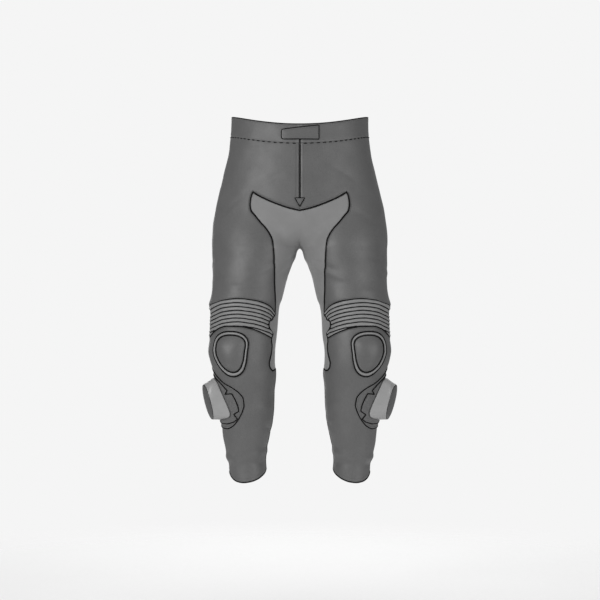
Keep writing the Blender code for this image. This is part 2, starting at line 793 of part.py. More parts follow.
def slider_frame():
    """Centre of the slider's seat, its outward direction, and the directions across and along.

    The sliding face turns towards the front and the ground, as the knee meets the road."""
    centre = leg_surface(SLIDER_ANGLE, SLIDER_HEIGHT)
    level = math.cos(FACE_DOWN)
    out = np.array([math.cos(FACE_FORWARD) * level, -math.sin(FACE_FORWARD) * level,
                    -math.sin(FACE_DOWN)])
    lean = np.array([math.sin(FACE_LEAN), 0, math.cos(FACE_LEAN)])
    across = np.cross(lean, out)
    across = across / np.linalg.norm(across)
    return centre, out, across, np.cross(out, across)


def on_shin(across, along, lift):
    """A point that lies lift above the shin, this far across and along from the slider's centre."""
    level = across * math.cos(SEAT_TURN) + along * math.sin(SEAT_TURN)
    up = along * math.cos(SEAT_TURN) - across * math.sin(SEAT_TURN)
    height = SLIDER_HEIGHT + up
    angle = SLIDER_ANGLE + level / girth(height) * 360
    return leg_surface(angle, height) + surface_normal(angle, height) * lift


def oval_solid(name, finish, rings, side):
    """A closed solid through rings of points, with one point closing each end."""
    mesh = bpy.data.meshes.new(name)
    work = bmesh.new()
    flip = np.array([side, 1.0, 1.0])
    loops = [[work.verts.new(p * flip * MM) for p in ring] for ring in rings]
    for low, high in zip(loops, loops[1:]):
        if len(low) == 1 or len(high) == 1:
            tip, ring = (low[0], high) if len(low) == 1 else (high[0], low)
            for a, b in zip(ring, ring[1:] + ring[:1]):
                work.faces.new((tip, a, b))
        else:
            for k in range(len(low)):
                nxt = (k + 1) % len(low)
                work.faces.new((low[k], low[nxt], high[nxt], high[k]))
    bmesh.ops.triangulate(work, faces=work.faces)
    bmesh.ops.recalc_face_normals(work, faces=work.faces)
    work.to_mesh(mesh)
    work.free()
    return place_object(name, mesh, finish)


def knee_sliders():
    """Oval block that sits on the patch, and its domed sliding face."""
    centre, out, across, along = slider_frame()
    seat = 3 * LAY_GAP + SLIDER_PANEL_WALL + LOOP_PATCH_WALL + 0.5 + SLIDER_GAP

    def level_ring(scale, depth, power=FACE_POWER):
        oval = slider_outline(scale, power)
        return [centre + out * depth + across * a + along * b for a, b in oval]

    def seat_ring(scale, lift):
        return [on_shin(a, b, lift) for a, b in slider_outline(scale, SEAT_POWER)]

    top = seat + SLIDER_DEPTH
    body = [
        [on_shin(0, 0, seat)],
        seat_ring(0.4, seat),
        seat_ring(0.75, seat),
        seat_ring(1.0, seat),
        seat_ring(1.02, seat + 3),
        level_ring(0.97, seat + SLIDER_DEPTH * 0.5, (SEAT_POWER + FACE_POWER) / 2),
        level_ring(SLIDER_TAPER + 0.02, top - 5),
        level_ring(SLIDER_TAPER - 0.04, top - 1.0),
        [centre + out * (top - 1.0)],
    ]
    low = top - 1.0 + SEAM_GAP
    face_scale = SLIDER_TAPER - 0.05
    face = [
        [centre + out * low],
        level_ring(face_scale, low),
        level_ring(face_scale, low + FACE_WALL - 1.2),
        level_ring(face_scale - 0.05, low + FACE_WALL),
        level_ring(face_scale * 0.55, low + FACE_WALL + FACE_DOME * 0.7),
        [centre + out * (low + FACE_WALL + FACE_DOME)],
    ]
    for side, word in ((1, "left"), (-1, "right")):
        oval_solid("knee_slider_" + word, "slider", body, side)
        oval_solid("slider_face_" + word, "slider_face", face, side)


def front_angle(x, height):
    """Angle of a point on the front of the hips, negative on the wearer's right."""
    return math.degrees(2 * math.asin(x / float(SECTION["outer"](height))))


def front_patch(name, finish, corners, low, wall, step):
    """A flat-cut piece that lies across the centre front; corners are across and height."""
    points = []
    for (x1, z1), (x2, z2) in zip(corners, corners[1:] + corners[:1]):
        cuts = max(1, int(round(math.hypot(x2 - x1, z2 - z1) / step)))
        points += [(x1 + (x2 - x1) * k / cuts, z1 + (z2 - z1) * k / cuts) for k in range(cuts)]
    rim = len(points)
    xs = np.arange(-6, 7) * step + step / 2
    zs = np.arange(-20, 3) * step
    inner = np.array([(x, z) for x in xs for z in zs])
    near = distance_to(inner, points)
    points += [tuple(p) for p, d in zip(inner.tolist(), near) if d > step * 0.45 and inside(p, points[:rim])]
    edges = [(k, (k + 1) % rim) for k in range(rim)]
    made = delaunay_2d_cdt(points, edges, [], 1, 1e-4)
    source = [ids[0] for ids in made[3]]
    triangles = [tuple(source[k] for k in face) for face in made[2]]
    spots = np.array([(front_angle(x, z), z) for x, z in points])
    places = leg_surface(spots[:, 0], spots[:, 1])
    normals = surface_normal(spots[:, 0], spots[:, 1])
    make_wall(name, finish, places, triangles, normals, low + wall, low)


def waistband():
    """One strip round the waist, open at the centre front beside the zip."""
    start = fly_angle(-20)
    left = np.linspace(start, 360, COLUMNS + 1)
    angles = list(-left) + [a for a in left[::-1][1:]]
    rows = 3
    spots, places, normals = [], [], []
    for r in range(rows):
        for a in angles:
            turn = abs(a)
            height = waist_top(turn) - BAND_HEIGHT * r / (rows - 1)
            flip = np.array([1.0 if a > 0 else -1.0, 1.0, 1.0])
            places.append(leg_surface(turn, height) * flip)
            normals.append(surface_normal(turn, height) * flip)
            spots.append((a, height))
    triangles = [t[::-1] for t in grid_triangles(rows, len(angles))]
    places, normals = np.array(places), np.array(normals)
    places = seam_inset(places, normals, triangles, SEAM_GAP)
    make_wall("waistband", "leather", places, triangles, normals, 0, -WAISTBAND)


def fly_zip():
    """Closed zip: two tapes behind the panels and the chain that fills the slot between them."""
    back = -WAISTBAND - TAPE_GAP - TAPE_WALL
    tape = -WAISTBAND - TAPE_GAP
    profile = ((-TAPE_HALF, back), (-TAPE_HALF, tape), (-CHAIN_HALF, tape), (-CHAIN_HALF, CHAIN_PROUD),
               (CHAIN_HALF, CHAIN_PROUD), (CHAIN_HALF, tape), (TAPE_HALF, tape), (TAPE_HALF, back),
               (CHAIN_HALF, back), (-CHAIN_HALF, back))
    mesh = bpy.data.meshes.new("fly_zip")
    work = bmesh.new()
    rings = []
    for height in spaced(ZIP_TOP, FLY_END + 2.0, ZIP_STEP):
        ring = []
        for x, lift in profile:
            angle = front_angle(x, height)
            place = leg_surface(angle, height) + surface_normal(angle, height) * lift
            ring.append(work.verts.new(place * MM))
        rings.append(ring)
    for low, high in zip(rings, rings[1:]):
        for k in range(len(profile)):
            nxt = (k + 1) % len(profile)
            work.faces.new((low[k], low[nxt], high[nxt], high[k]))
    for ring in (rings[0], rings[-1]):
        for corners in ((0, 1, 2, 9), (2, 3, 4, 5), (2, 5, 8, 9), (5, 6, 7, 8)):
            work.faces.new([ring[k] for k in corners])
    bmesh.ops.triangulate(work, faces=work.faces)
    bmesh.ops.recalc_face_normals(work, faces=work.faces)
    work.to_mesh(mesh)
    work.free()
    place_object("fly_zip", mesh, "zip")


def zip_slider():
    """The zip's slider, drawn up to the top of the chain and hidden under the waist tab."""
    width, depth, height = (size * MM for size in ZIP_SLIDER_SIZE)
    place = leg_surface(0, ZIP_TOP)
    mesh = bpy.data.meshes.new("zip_slider")
    work = bmesh.new()
    bmesh.ops.create_cube(work, size=1.0)
    bmesh.ops.scale(work, vec=(width, depth, height), verts=work.verts)
    bmesh.ops.bevel(work, geom=work.edges, offset=0.5 * MM, segments=2, affect="EDGES")
    bmesh.ops.triangulate(work, faces=work.faces)
    move = (0, place[1] * MM + 1.25 * MM, (ZIP_TOP + SEAM_GAP) * MM + height / 2)
    bmesh.ops.translate(work, vec=move, verts=work.verts)
    work.to_mesh(mesh)
    work.free()
    place_object("zip_slider", mesh, "zip")


def waist_tab():
    """Hook-and-loop tab over the front of the waistband, narrower at its free end."""
    front_patch("waist_tab", "leather", list(TAB_OUTLINE), LAY_GAP, TAB_WALL, 11.0)


def fly_patch():
    """Small triangle of leather over the lower end of the zip."""
    front_patch("fly_patch", "leather", list(FLY_PATCH_OUTLINE), LAY_GAP, FLY_PATCH_WALL, 8.0)


def make_material(name, colour, roughness, metallic):
    material = bpy.data.materials.new(name)
    material.use_nodes = True
    shader = material.node_tree.nodes["Principled BSDF"]
    shader.inputs["Base Color"].default_value = (*colour, 1)
    shader.inputs["Roughness"].default_value = roughness
    shader.inputs["Metallic"].default_value = metallic
    return material


for old in list(bpy.data.objects):
    bpy.data.objects.remove(old)

MATERIALS = {name: make_material(name, *values) for name, values in FINISHES.items()}

all_seams = make_seams()
upper_panels(all_seams)
lower_panels(all_seams)
gussets(all_seams)
knee_ribs()
knee_cups()
slider_holders()
knee_sliders()
waistband()
waist_tab()
fly_zip()
zip_slider()
fly_patch()
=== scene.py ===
# %% [markdown]
# # Motorcycle trousers
#
# The photo is a line drawing of leather race trousers seen from the front: dark grey leather, a
# lighter stretch gusset with two wings, ribbed bands above padded knee cups, and a knee slider at
# the outside of each shin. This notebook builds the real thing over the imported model, with the
# legs filled out as worn and nobody inside.
#
# Everything is read from one smooth surface, so that seams, padding and stitches stay on the
# cloth. Sizes are in millimetres until a mesh is made.

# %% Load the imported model
import math

import bpy
import numpy as np
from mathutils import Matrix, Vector
from mathutils.geometry import delaunay_2d_cdt


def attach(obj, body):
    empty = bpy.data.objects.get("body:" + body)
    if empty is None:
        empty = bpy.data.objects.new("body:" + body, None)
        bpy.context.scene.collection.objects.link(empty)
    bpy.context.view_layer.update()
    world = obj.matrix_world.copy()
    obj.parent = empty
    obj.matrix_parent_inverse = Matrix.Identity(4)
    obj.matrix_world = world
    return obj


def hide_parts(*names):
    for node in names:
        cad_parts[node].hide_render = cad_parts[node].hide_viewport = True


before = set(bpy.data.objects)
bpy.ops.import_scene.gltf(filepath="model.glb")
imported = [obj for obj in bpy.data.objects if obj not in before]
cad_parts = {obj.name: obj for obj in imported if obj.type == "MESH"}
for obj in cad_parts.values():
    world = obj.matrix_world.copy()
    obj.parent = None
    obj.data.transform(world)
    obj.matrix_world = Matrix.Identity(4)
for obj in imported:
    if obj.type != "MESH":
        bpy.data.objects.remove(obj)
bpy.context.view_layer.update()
MM = 0.001
SIDES = {"left": 1.0, "right": -1.0}

# %% [markdown]
# ## The shape of the cloth
#
# Trousers have no flat side to draw on, so a point on them is given as an angle round one leg and
# a height above the waist. Each leg is an oval at every height, and so are the hips. A table holds
# the ovals' outer, inner, front and back edges, and a curve that never overshoots joins its rows.

# %% Table of sections
SECTION_COLUMNS = ("height", "outer", "inner", "front", "back")
SECTIONS = (
    (60, 181.0, 0, -117, 121),
    (34, 181.0, 0, -117, 121),
    (0, 181.5, 0, -118, 122),
    (-26, 184.0, 0, -118, 124),
    (-69, 190.0, 0, -118, 128),
    (-117, 201.5, 0, -119, 133),
    (-164, 213.0, 0, -120, 139),
    (-212, 224.0, 0, -121, 142),
    (-260, 231.0, 0, -121, 141),
    (-300, 232.5, 0, -120, 136),
    (-313, 232.0, 0, -119, 134),
    (-316, 232.0, 4, -119, 133),
    (-323, 232.0, 7, -119, 130),
    (-339, 232.0, 11, -118, 123),
    (-355, 232.0, 18, -118, 116),
    (-387, 230.5, 31, -118, 102),
    (-419, 231.0, 39.5, -119, 89),
    (-450, 235.5, 47, -122, 76),
    (-462, 238.0, 52, -123, 71),
    (-484, 233.5, 55.5, -125, 63),
    (-520, 234.0, 58, -130, 50),
    (-550, 236.5, 60.5, -133, 40),
    (-583, 240.0, 64, -134, 33),
    (-610, 234.5, 64.5, -131, 33),
    (-641, 224.0, 62.5, -121, 38),
    (-690, 216.0, 66.5, -105, 50),
    (-726, 211.5, 67.5, -94, 57),
    (-768, 206.5, 72, -81, 63),
    (-821, 201.5, 83, -64, 67),
    (-848, 196.5, 88.5, -56, 69),
    (-872, 191.5, 89.5, -50, 70),
    (-886, 187.5, 89, -46, 70),
    (-960, 184.5, 87, -40, 72),
)
CROTCH = -313.0
HIP_BLEND = 140.0
BLEND_FADE = 80.0


def smooth_curve(knots, values):
    """A function through the knots that never overshoots them."""
    x = np.array(knots, float)
    y = np.array(values, float)
    if x[0] > x[-1]:
        x, y = x[::-1], y[::-1]
    gap = np.diff(x)
    slope = np.diff(y) / gap
    product = slope[1:] * slope[:-1]
    total = np.where(product > 0, slope[1:] + slope[:-1], 1.0)
    inner = np.where(product > 0, 2 * product / total, 0.0)
    tangent = np.concatenate(([slope[0]], inner, [slope[-1]]))

    def curve(at):
        i = np.clip(np.searchsorted(x, at) - 1, 0, len(gap) - 1)
        s = np.clip((at - x[i]) / gap[i], 0, 1)
        rise = s * s * (3 - 2 * s)
        start = s * (1 - s) ** 2 * gap[i] * tangent[i]
        end = s * s * (s - 1) * gap[i] * tangent[i + 1]
        return y[i] + rise * (y[i + 1] - y[i]) + start + end

    return curve


def column_curves(table, columns):
    """One smooth curve over the table's first column for each of its other columns."""
    rows = np.array(table, float)
    return {name: smooth_curve(rows[:, 0], rows[:, k]) for k, name in enumerate(columns) if k}


SECTION = column_curves(SECTIONS, SECTION_COLUMNS)
print("sections:", len(SECTIONS))

# %% [markdown]
# ## Folds and creases
#
# Leather is thick, so it falls into a few broad folds and not into many sharp ones. The large
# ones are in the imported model: behind the bent knees, under the seat and at the ankles. The finer
# ones differ from leg to leg, as on a real pair. A negative depth is a trough, a positive one a
# ridge. Under both lies a faint unevenness, because no hide is perfectly flat.

# %% Table of folds
FOLD_COLUMNS = ("angle", "height", "slope", "half_length", "half_width", "depth")
FOLDS = (
    (262, -548, 0.10, 62, 13, -6.0),
    (276, -584, -0.06, 66, 13, -7.5),
    (258, -618, 0.12, 56, 12, -5.5),
    (285, -352, 0.30, 70, 16, -5.0),
    (268, -392, 0.16, 54, 14, -3.5),
    (20, -372, -0.35, 46, 13, -3.5),
    (205, -336, -0.22, 50, 14, -3.0),
    (160, -458, 0.04, 40, 11, 2.0),
    (176, -866, 0.08, 48, 9, 3.0),
    (30, -852, -0.10, 48, 9, 2.5),
    (255, -846, 0.05, 52, 11, -4.0),
    (60, -878, 0.06, 44, 9, -2.5),
)
CREASES = {
    "left": (
        (250, -566, 0.16, 42, 5, 4.6),
        (284, -600, -0.12, 46, 5, 5.4),
        (268, -640, 0.20, 42, 6, -4.3),
        (302, -556, -0.30, 34, 5, -4.1),
        (318, -600, 0.12, 30, 5, 3.5),
        (240, -606, 0.26, 36, 5, -4.1),
        (272, -526, -0.18, 46, 6, 3.8),
        (258, -500, 0.12, 40, 6, -3.2),
        (44, -352, -0.52, 40, 7, -1.8),
        (62, -384, -0.42, 44, 8, 1.5),
        (100, -402, 0.10, 52, 9, -1.2),
        (120, -428, -0.06, 46, 8, 1.2),
        (150, -352, -0.34, 44, 8, -1.6),
        (196, -384, -0.16, 42, 8, 1.8),
        (226, -430, 0.22, 44, 7, -2.4),
        (246, -452, 0.10, 46, 6, 2.2),
        (262, -306, 0.30, 62, 8, 2.6),
        (300, -334, 0.46, 44, 7, -2.8),
        (318, -392, 0.34, 38, 7, 2.2),
        (206, -120, 0.55, 36, 7, -1.8),
        (230, -64, 0.30, 44, 7, 1.4),
        (60, -112, -0.62, 42, 8, -1.0),
        (110, -236, -0.48, 52, 9, -1.2),
        (40, -712, 0.22, 34, 7, -1.5),
        (20, -764, -0.16, 34, 7, 1.6),
        (290, -742, 0.14, 44, 7, -2.2),
        (262, -778, 0.22, 46, 7, 2.0),
        (238, -800, -0.12, 40, 7, 1.8),
        (108, -846, 0.06, 34, 7, 1.5),
        (150, -884, -0.08, 30, 6, -1.5),
        (290, -852, 0.12, 44, 6, 2.2),
        (330, -868, 0.10, 32, 6, 1.7),
    ),
    "right": (
        (256, -560, 0.08, 46, 5, 4.3),
        (276, -606, 0.10, 42, 5, 5.7),
        (290, -646, -0.14, 42, 6, -4.1),
        (306, -572, 0.22, 32, 5, 3.8),
        (322, -612, -0.20, 30, 5, -3.2),
        (244, -590, -0.22, 38, 5, -4.1),
        (264, -528, 0.14, 46, 6, 3.5),
        (284, -496, -0.16, 40, 6, -3.5),
        (40, -346, -0.40, 44, 8, -1.6),
        (70, -372, -0.50, 42, 8, 1.4),
        (96, -414, -0.08, 48, 8, 1.2),
        (132, -394, 0.16, 50, 9, -1.3),
        (160, -340, -0.24, 42, 8, -1.5),
        (204, -412, 0.12, 40, 7, -2.0),
        (232, -372, 0.26, 42, 8, 2.2),
        (252, -444, -0.12, 46, 6, 2.2),
        (262, -312, 0.40, 58, 8, 2.4),
        (296, -350, 0.34, 46, 7, -2.6),
        (330, -404, 0.30, 34, 7, 2.0),
        (212, -92, 0.48, 38, 7, -1.6),
        (240, -140, 0.34, 46, 8, 1.4),
        (48, -140, -0.50, 46, 9, -1.1),
        (122, -212, -0.56, 50, 9, -1.2),
        (46, -732, -0.12, 36, 7, 1.6),
        (18, -790, 0.20, 34, 7, -1.5),
        (280, -716, 0.10, 42, 7, 2.0),
        (246, -776, 0.16, 44, 7, -2.2),
        (300, -800, -0.20, 40, 7, 1.8),
        (118, -862, -0.06, 36, 7, -1.5),
        (80, -838, 0.10, 30, 6, 1.3),
        (270, -846, -0.10, 46, 6, -2.0),
        (322, -880, -0.08, 30, 6, -1.6),
    ),
}
WAVE_COLUMNS = ("length", "x", "y", "z", "shift", "height")
WAVES = (
    (96, 0.6, 0.7, 0.4, 0.0, 0.26),
    (74, -0.5, 0.6, 0.6, 1.9, 0.22),
    (61, 0.7, -0.2, 0.7, 4.1, 0.20),
    (52, 0.1, 0.8, -0.6, 2.7, 0.17),
    (43, -0.8, 0.3, 0.5, 5.3, 0.14),
    (34, 0.4, -0.6, 0.7, 0.8, 0.10),
)


def fold_relief(table, angle, height, radius):
    """How far a table of folds pushes the cloth out, in millimetres."""
    relief = np.zeros(np.broadcast(angle, height).shape)
    for row in table:
        fold = dict(zip(FOLD_COLUMNS, row))
        turn = (angle - fold["angle"] + 180) % 360 - 180
        along = np.radians(turn) * radius
        across = height - fold["height"] - fold["slope"] * along
        length_share = np.exp(-((along / fold["half_length"]) ** 4))
        relief = relief + fold["depth"] * length_share * np.exp(-((across / fold["half_width"]) ** 2))
    return relief


def unevenness(points):
    """The hide's own faint waves at these points, in millimetres."""
    total = np.zeros(points.shape[:-1])
    for row in WAVES:
        wave = dict(zip(WAVE_COLUMNS, row))
        along = points[..., 0] * wave["x"] + points[..., 1] * wave["y"] + points[..., 2] * wave["z"]
        total = total + wave["height"] * np.sin(2 * math.pi * along / wave["length"] + wave["shift"])
    return total


# %% [markdown]
# ## The surface
#
# Two functions give the cloth's outer face and the direction that points out of it. Above the
# crotch the leg's oval blends into the hips' oval, and beside the centre plane that blend starts
# steeply, which rounds the curve between the legs. `place` adds the creases of one leg and any
# height above the cloth, such as that of a pad or a stitch.

# %% Surface functions
FOLD_RISE = 30.0
CREASE_FADE = 40.0
CREASE_RADIUS = 85.0
NORMAL_STEP = {"angle": 0.2, "height": 0.6}


def leg_surface(angle, height):
    """Points on the outer face of the left side's cloth, in millimetres."""
    angle, height = np.broadcast_arrays(np.asarray(angle, float), np.asarray(height, float))
    mirrored = ((angle < 0) | (angle > 360)) & (height >= CROTCH)
    # the divisor is a hair over 360, so that 360 itself stays 360
    turn = np.where(mirrored, np.where(angle < 0, -angle, 720 - angle), angle % 360.0000001)
    t = np.radians(turn)
    outer = SECTION["outer"](height)
    inner = SECTION["inner"](height)
    front = SECTION["front"](height)
    back = SECTION["back"](height)
    middle = (front + back) / 2
    half_depth = (back - front) / 2

    leg_x = (outer + inner) / 2 - (outer - inner) / 2 * np.cos(t)
    leg_y = middle - half_depth * np.sin(t)
    hip_x = outer * np.sin(t / 2)
    hip_y = middle - half_depth * np.cos(t / 2)
    rise = np.clip((height - CROTCH) / HIP_BLEND, 0, 1)
    steep = np.sin(math.pi / 2 * np.sqrt(rise))
    gentle = rise * rise * (3 - 2 * rise)
    from_centre = np.minimum(np.minimum(turn, 360 - turn), BLEND_FADE)
    near_centre = (1 + np.cos(math.pi * from_centre / BLEND_FADE)) / 2
    share = gentle + near_centre * (steep - gentle)
    x = leg_x + share * (hip_x - leg_x)
    y = leg_y + share * (hip_y - leg_y)

    centre_x = (outer + inner) / 2
    reach = np.hypot(x - centre_x, y - middle)
    above = np.clip((height - CROTCH) / FOLD_RISE, 0, 1)
    relief = fold_relief(FOLDS, turn, height, reach) * (1 - above * near_centre)
    x = x + (x - centre_x) * relief / np.maximum(reach, 1)
    y = y + (y - middle) * relief / np.maximum(reach, 1)
    return np.stack([np.where(mirrored, -x, x), y, height], -1)


def surface_normal(angle, height):
    """Unit vectors that point out of the cloth."""
    angle, height = np.broadcast_arrays(np.asarray(angle, float), np.asarray(height, float))
    turn, rise = NORMAL_STEP["angle"], NORMAL_STEP["height"]
    round_leg = leg_surface(angle + turn, height) - leg_surface(angle - turn, height)
    up_leg = leg_surface(angle, height + rise) - leg_surface(angle, height - rise)
    normal = np.cross(round_leg, up_leg)
    on_centre = ((angle == 0) | (angle == 360)) & (height >= CROTCH)
    normal[..., 0] = np.where(on_centre, 0, normal[..., 0])
    normal[on_centre & (height < CROTCH + 1)] = (0, 0, -1)
    return normal / np.linalg.norm(normal, axis=-1, keepdims=True)


def place(spots, side, lift=0.0):
    """Points of one side's cloth in millimetres, raised by lift, and the directions out of it."""
    flip = np.array([SIDES[side], 1.0, 1.0])
    points = leg_surface(spots[:, 0], spots[:, 1]) * flip
    normals = surface_normal(spots[:, 0], spots[:, 1]) * flip
    from_centre = np.minimum(np.abs(spots[:, 0]), 360 - np.abs(spots[:, 0]))
    fade = np.where(spots[:, 1] >= CROTCH, np.clip(from_centre / CREASE_FADE, 0, 1), 1)
    creases = fold_relief(CREASES[side], np.abs(spots[:, 0]), spots[:, 1], CREASE_RADIUS) * fade
    rise = lift + creases + unevenness(points)
    return points + normals * rise[:, None], normals


def girth(height):
    """Length round one leg, or half way round the hips, in millimetres."""
    half_depth = (SECTION["back"](height) - SECTION["front"](height)) / 2
    outer = SECTION["outer"](height)
    leg = math.pi * ((outer - SECTION["inner"](height)) / 2 + half_depth)
    share = np.clip((height - CROTCH) / HIP_BLEND, 0, 1) ** 0.5
    return leg + share * (math.pi * (outer + half_depth) / 2 - leg)


def to_flat(spots):
    """Where spots on the leg lie on the flat pattern, in millimetres."""
    spots = np.asarray(spots, float)
    return np.stack([(spots[:, 0] - 180) / 360 * girth(spots[:, 1]), spots[:, 1]], 1)


def to_spots(flats):
    """Angle and height of points on the flat pattern."""
    return np.stack([180 + flats[:, 0] / girth(flats[:, 1]) * 360, flats[:, 1]], 1)


def run_along(line):
    """The distance along a line of points, at each of them."""
    return np.concatenate([[0], np.cumsum(np.linalg.norm(np.diff(line, axis=0), axis=1))])


print("girths in mm: waist %.0f, knee %.0f, ankle %.0f" % (2 * girth(0), girth(-583), girth(-900)))

# %% [markdown]
# ## Seam lines
#
# A maker draws the seams on the hide before cutting. Those seen in the photo are measured from
# it, as the distance from the centre plane and the height, and those round the leg as angle and
# height. A row of RIBS is one line of the ribbed panel.

# %% Tables of seams
GUSSET_TOP = ((0, -219), (26, -213), (56, -203), (87, -190), (108, -179), (122, -170))
GUSSET_UPPER = (
    (122, -170), (127, -184), (129, -202), (127, -216), (115, -232), (102, -248), (87, -264),
    (77, -279), (70, -296), (67, -325), (65.5, -360), (64.5, -395), (64, -425), (63, -455),
    (63, -481),
)
GUSSET_AT_RIBS = (
    (63, -481), (63.5, -487), (70, -497), (76.5, -504), (79, -512), (78.5, -519), (75, -527),
    (70, -534), (68.5, -539), (70.5, -544), (72, -548.5),
)
GUSSET_LOWER = (
    (72, -548.5), (72.5, -556), (71, -568), (72.5, -586), (76, -602), (78.5, -614), (77, -625),
    (70.5, -634),
)
GUSSET_TIP = -630.0
GUSSET_BACK_UPPER = (
    (0, -240), (30, -247), (54, -266), (66, -295), (69, -330), (69, -370), (70, -410), (72, -450),
    (75, -490), (78, -525), (80, -560),
)
GUSSET_BACK_LOWER = ((80, -560), (81, -585), (80, -608), (75, -622), (68, -630))
SIDE_SEAM = ((34, 190), (-170, 190), (-313, 192), (-450, 200), (-550, 211), (-640, 226),
             (-780, 232), (-960, 230))
RIB_TOP = ((20, -487), (28, -481), (42, -467), (57, -458), (77, -451), (101, -447), (127, -451),
           (146, -459), (175, -468), (215, -476))
RIB_BOTTOM = ((20, -555), (28, -550), (49, -537.5), (64, -529), (78, -522.5), (98, -517.5), (120, -517),
              (137, -523), (152, -533), (170, -545), (215, -558))
RIB_PITCH = ((20, 8.7), (28, 8.7), (49, 9.8), (64, 9.9), (215, 9.9))
HEM = (
    (0, -899), (20, -907), (40, -915), (60, -923), (84, -929), (106, -931), (126, -929),
    (141, -924), (158, -916), (175, -908), (200, -903), (280, -902), (360, -899),
)
WAIST_TOP_SIDE = 33.0
WAIST_FRONT_DIP = 28.0
WAIST_BACK_DIP = 4.0
BAND_HEIGHT = 51.0
BAND_FRONT_RISE = 2.5
ZIP_SLOT = 4.8
FLY_END = -192.0
BACK_KNEE_SAG = 10.0
HEM_AT_SIDE = -903.0
SLOT_TOP = -20.0
RIB_ROWS = 96
RIB_COLUMNS = 60
MESH_STEP = 5.0
SEEN_STEP = 3.0
SEAM_SPOTS = 40
CROTCH_SPOTS = 26
RIB_SEAM_STEP = 6
BISECTIONS = 40

HEM_LINE = column_curves(HEM, ("angle", "height"))["height"]
SIDE_ANGLE = column_curves(SIDE_SEAM, ("height", "angle"))["angle"]
RIB_TOP_LINE = column_curves(RIB_TOP, ("angle", "height"))["height"]
RIB_BOTTOM_LINE = column_curves(RIB_BOTTOM, ("angle", "height"))["height"]
RIB_SPACING = column_curves(RIB_PITCH, ("angle", "spacing"))["spacing"]


def waist_top(angle):
    """Height of the waist's upper edge, which dips at the centre front."""
    share = np.cos(np.radians(np.asarray(angle, float) / 2))
    dip = np.where(share > 0, WAIST_FRONT_DIP, WAIST_BACK_DIP)
    return WAIST_TOP_SIDE - dip * share * share


def band_seam(angle):
    """Height of the seam under the waistband, which is a little narrower at the centre front."""
    share = np.clip(np.cos(np.radians(np.asarray(angle, float) / 2)), 0, 1)
    return waist_top(angle) - BAND_HEIGHT + BAND_FRONT_RISE * share * share


def fly_angle(height):
    """The angle of the edge beside the zip slot."""
    return np.degrees(2 * np.arcsin(ZIP_SLOT / 2 / SECTION["outer"](height)))


def angle_across(across, height, at_back):
    """The angles where the front, or the back, is this far from the centre plane."""
    low = np.zeros(len(across))
    high = np.full(len(across), 180.0)
    for _ in range(BISECTIONS):
        middle = (low + high) / 2
        short = leg_surface(360 - middle if at_back else middle, height)[:, 0] < across
        low = np.where(short, middle, low)
        high = np.where(short, high, middle)
    return 360 - low if at_back else low


def fine(spots, step=MESH_STEP):
    """A smooth seam through a few spots, as spots one step apart on the flat pattern."""
    spots = np.asarray(spots, float)
    run = run_along(to_flat(spots))
    at = np.linspace(0, run[-1], max(2, int(round(run[-1] / step)) + 1))
    return np.stack([smooth_curve(run, spots[:, k])(at) for k in (0, 1)], 1)


def seen(table, at_back=False):
    """A seam given by distance from the centre plane and height, as close angles and heights."""
    rows = np.array(table, float)
    run = run_along(rows)
    at = np.linspace(0, run[-1], int(run[-1] / SEEN_STEP) + 2)
    across, height = (smooth_curve(run, rows[:, k])(at) for k in (0, 1))
    return np.stack([angle_across(across, height, at_back), height], 1)


def round_leg(height_at, start, end):
    """A seam that runs round the leg."""
    angles = np.linspace(start, end, SEAM_SPOTS)
    return fine([(a, float(height_at(a))) for a in angles])


def down_leg(angle_at, start, end):
    """A seam that runs down the leg."""
    heights = np.linspace(start, end, SEAM_SPOTS)
    return fine([(float(angle_at(h)), h) for h in heights])


# %% Rows of the ribbed panel
RIB_ENDS_GUESS = (30.0, 205.0)
RIB_ENDS_STEPS = 30


def rib_rows():
    """Angle and height of the ribbed panel's points: rows go down, columns go round."""
    edge = seen(GUSSET_AT_RIBS)
    inner = smooth_curve(edge[:, 1], edge[:, 0])
    grid = []
    for share in np.linspace(0, 1, RIB_ROWS + 1):
        start, end = RIB_ENDS_GUESS
        for _ in range(RIB_ENDS_STEPS):
            start = float(inner(RIB_TOP_LINE(start) * (1 - share) + RIB_BOTTOM_LINE(start) * share))
            end = float(SIDE_ANGLE(RIB_TOP_LINE(end) * (1 - share) + RIB_BOTTOM_LINE(end) * share))
        angles = np.linspace(start, end, RIB_COLUMNS + 1)
        heights = RIB_TOP_LINE(angles) * (1 - share) + RIB_BOTTOM_LINE(angles) * share
        grid.append(np.stack([angles, heights], 1))
    return np.array(grid)


RIBS = rib_rows()
print("ribbed panel grid:", RIBS.shape[:2])


# %% Every seam of one side
FLY_START = float(fly_angle(SLOT_TOP))


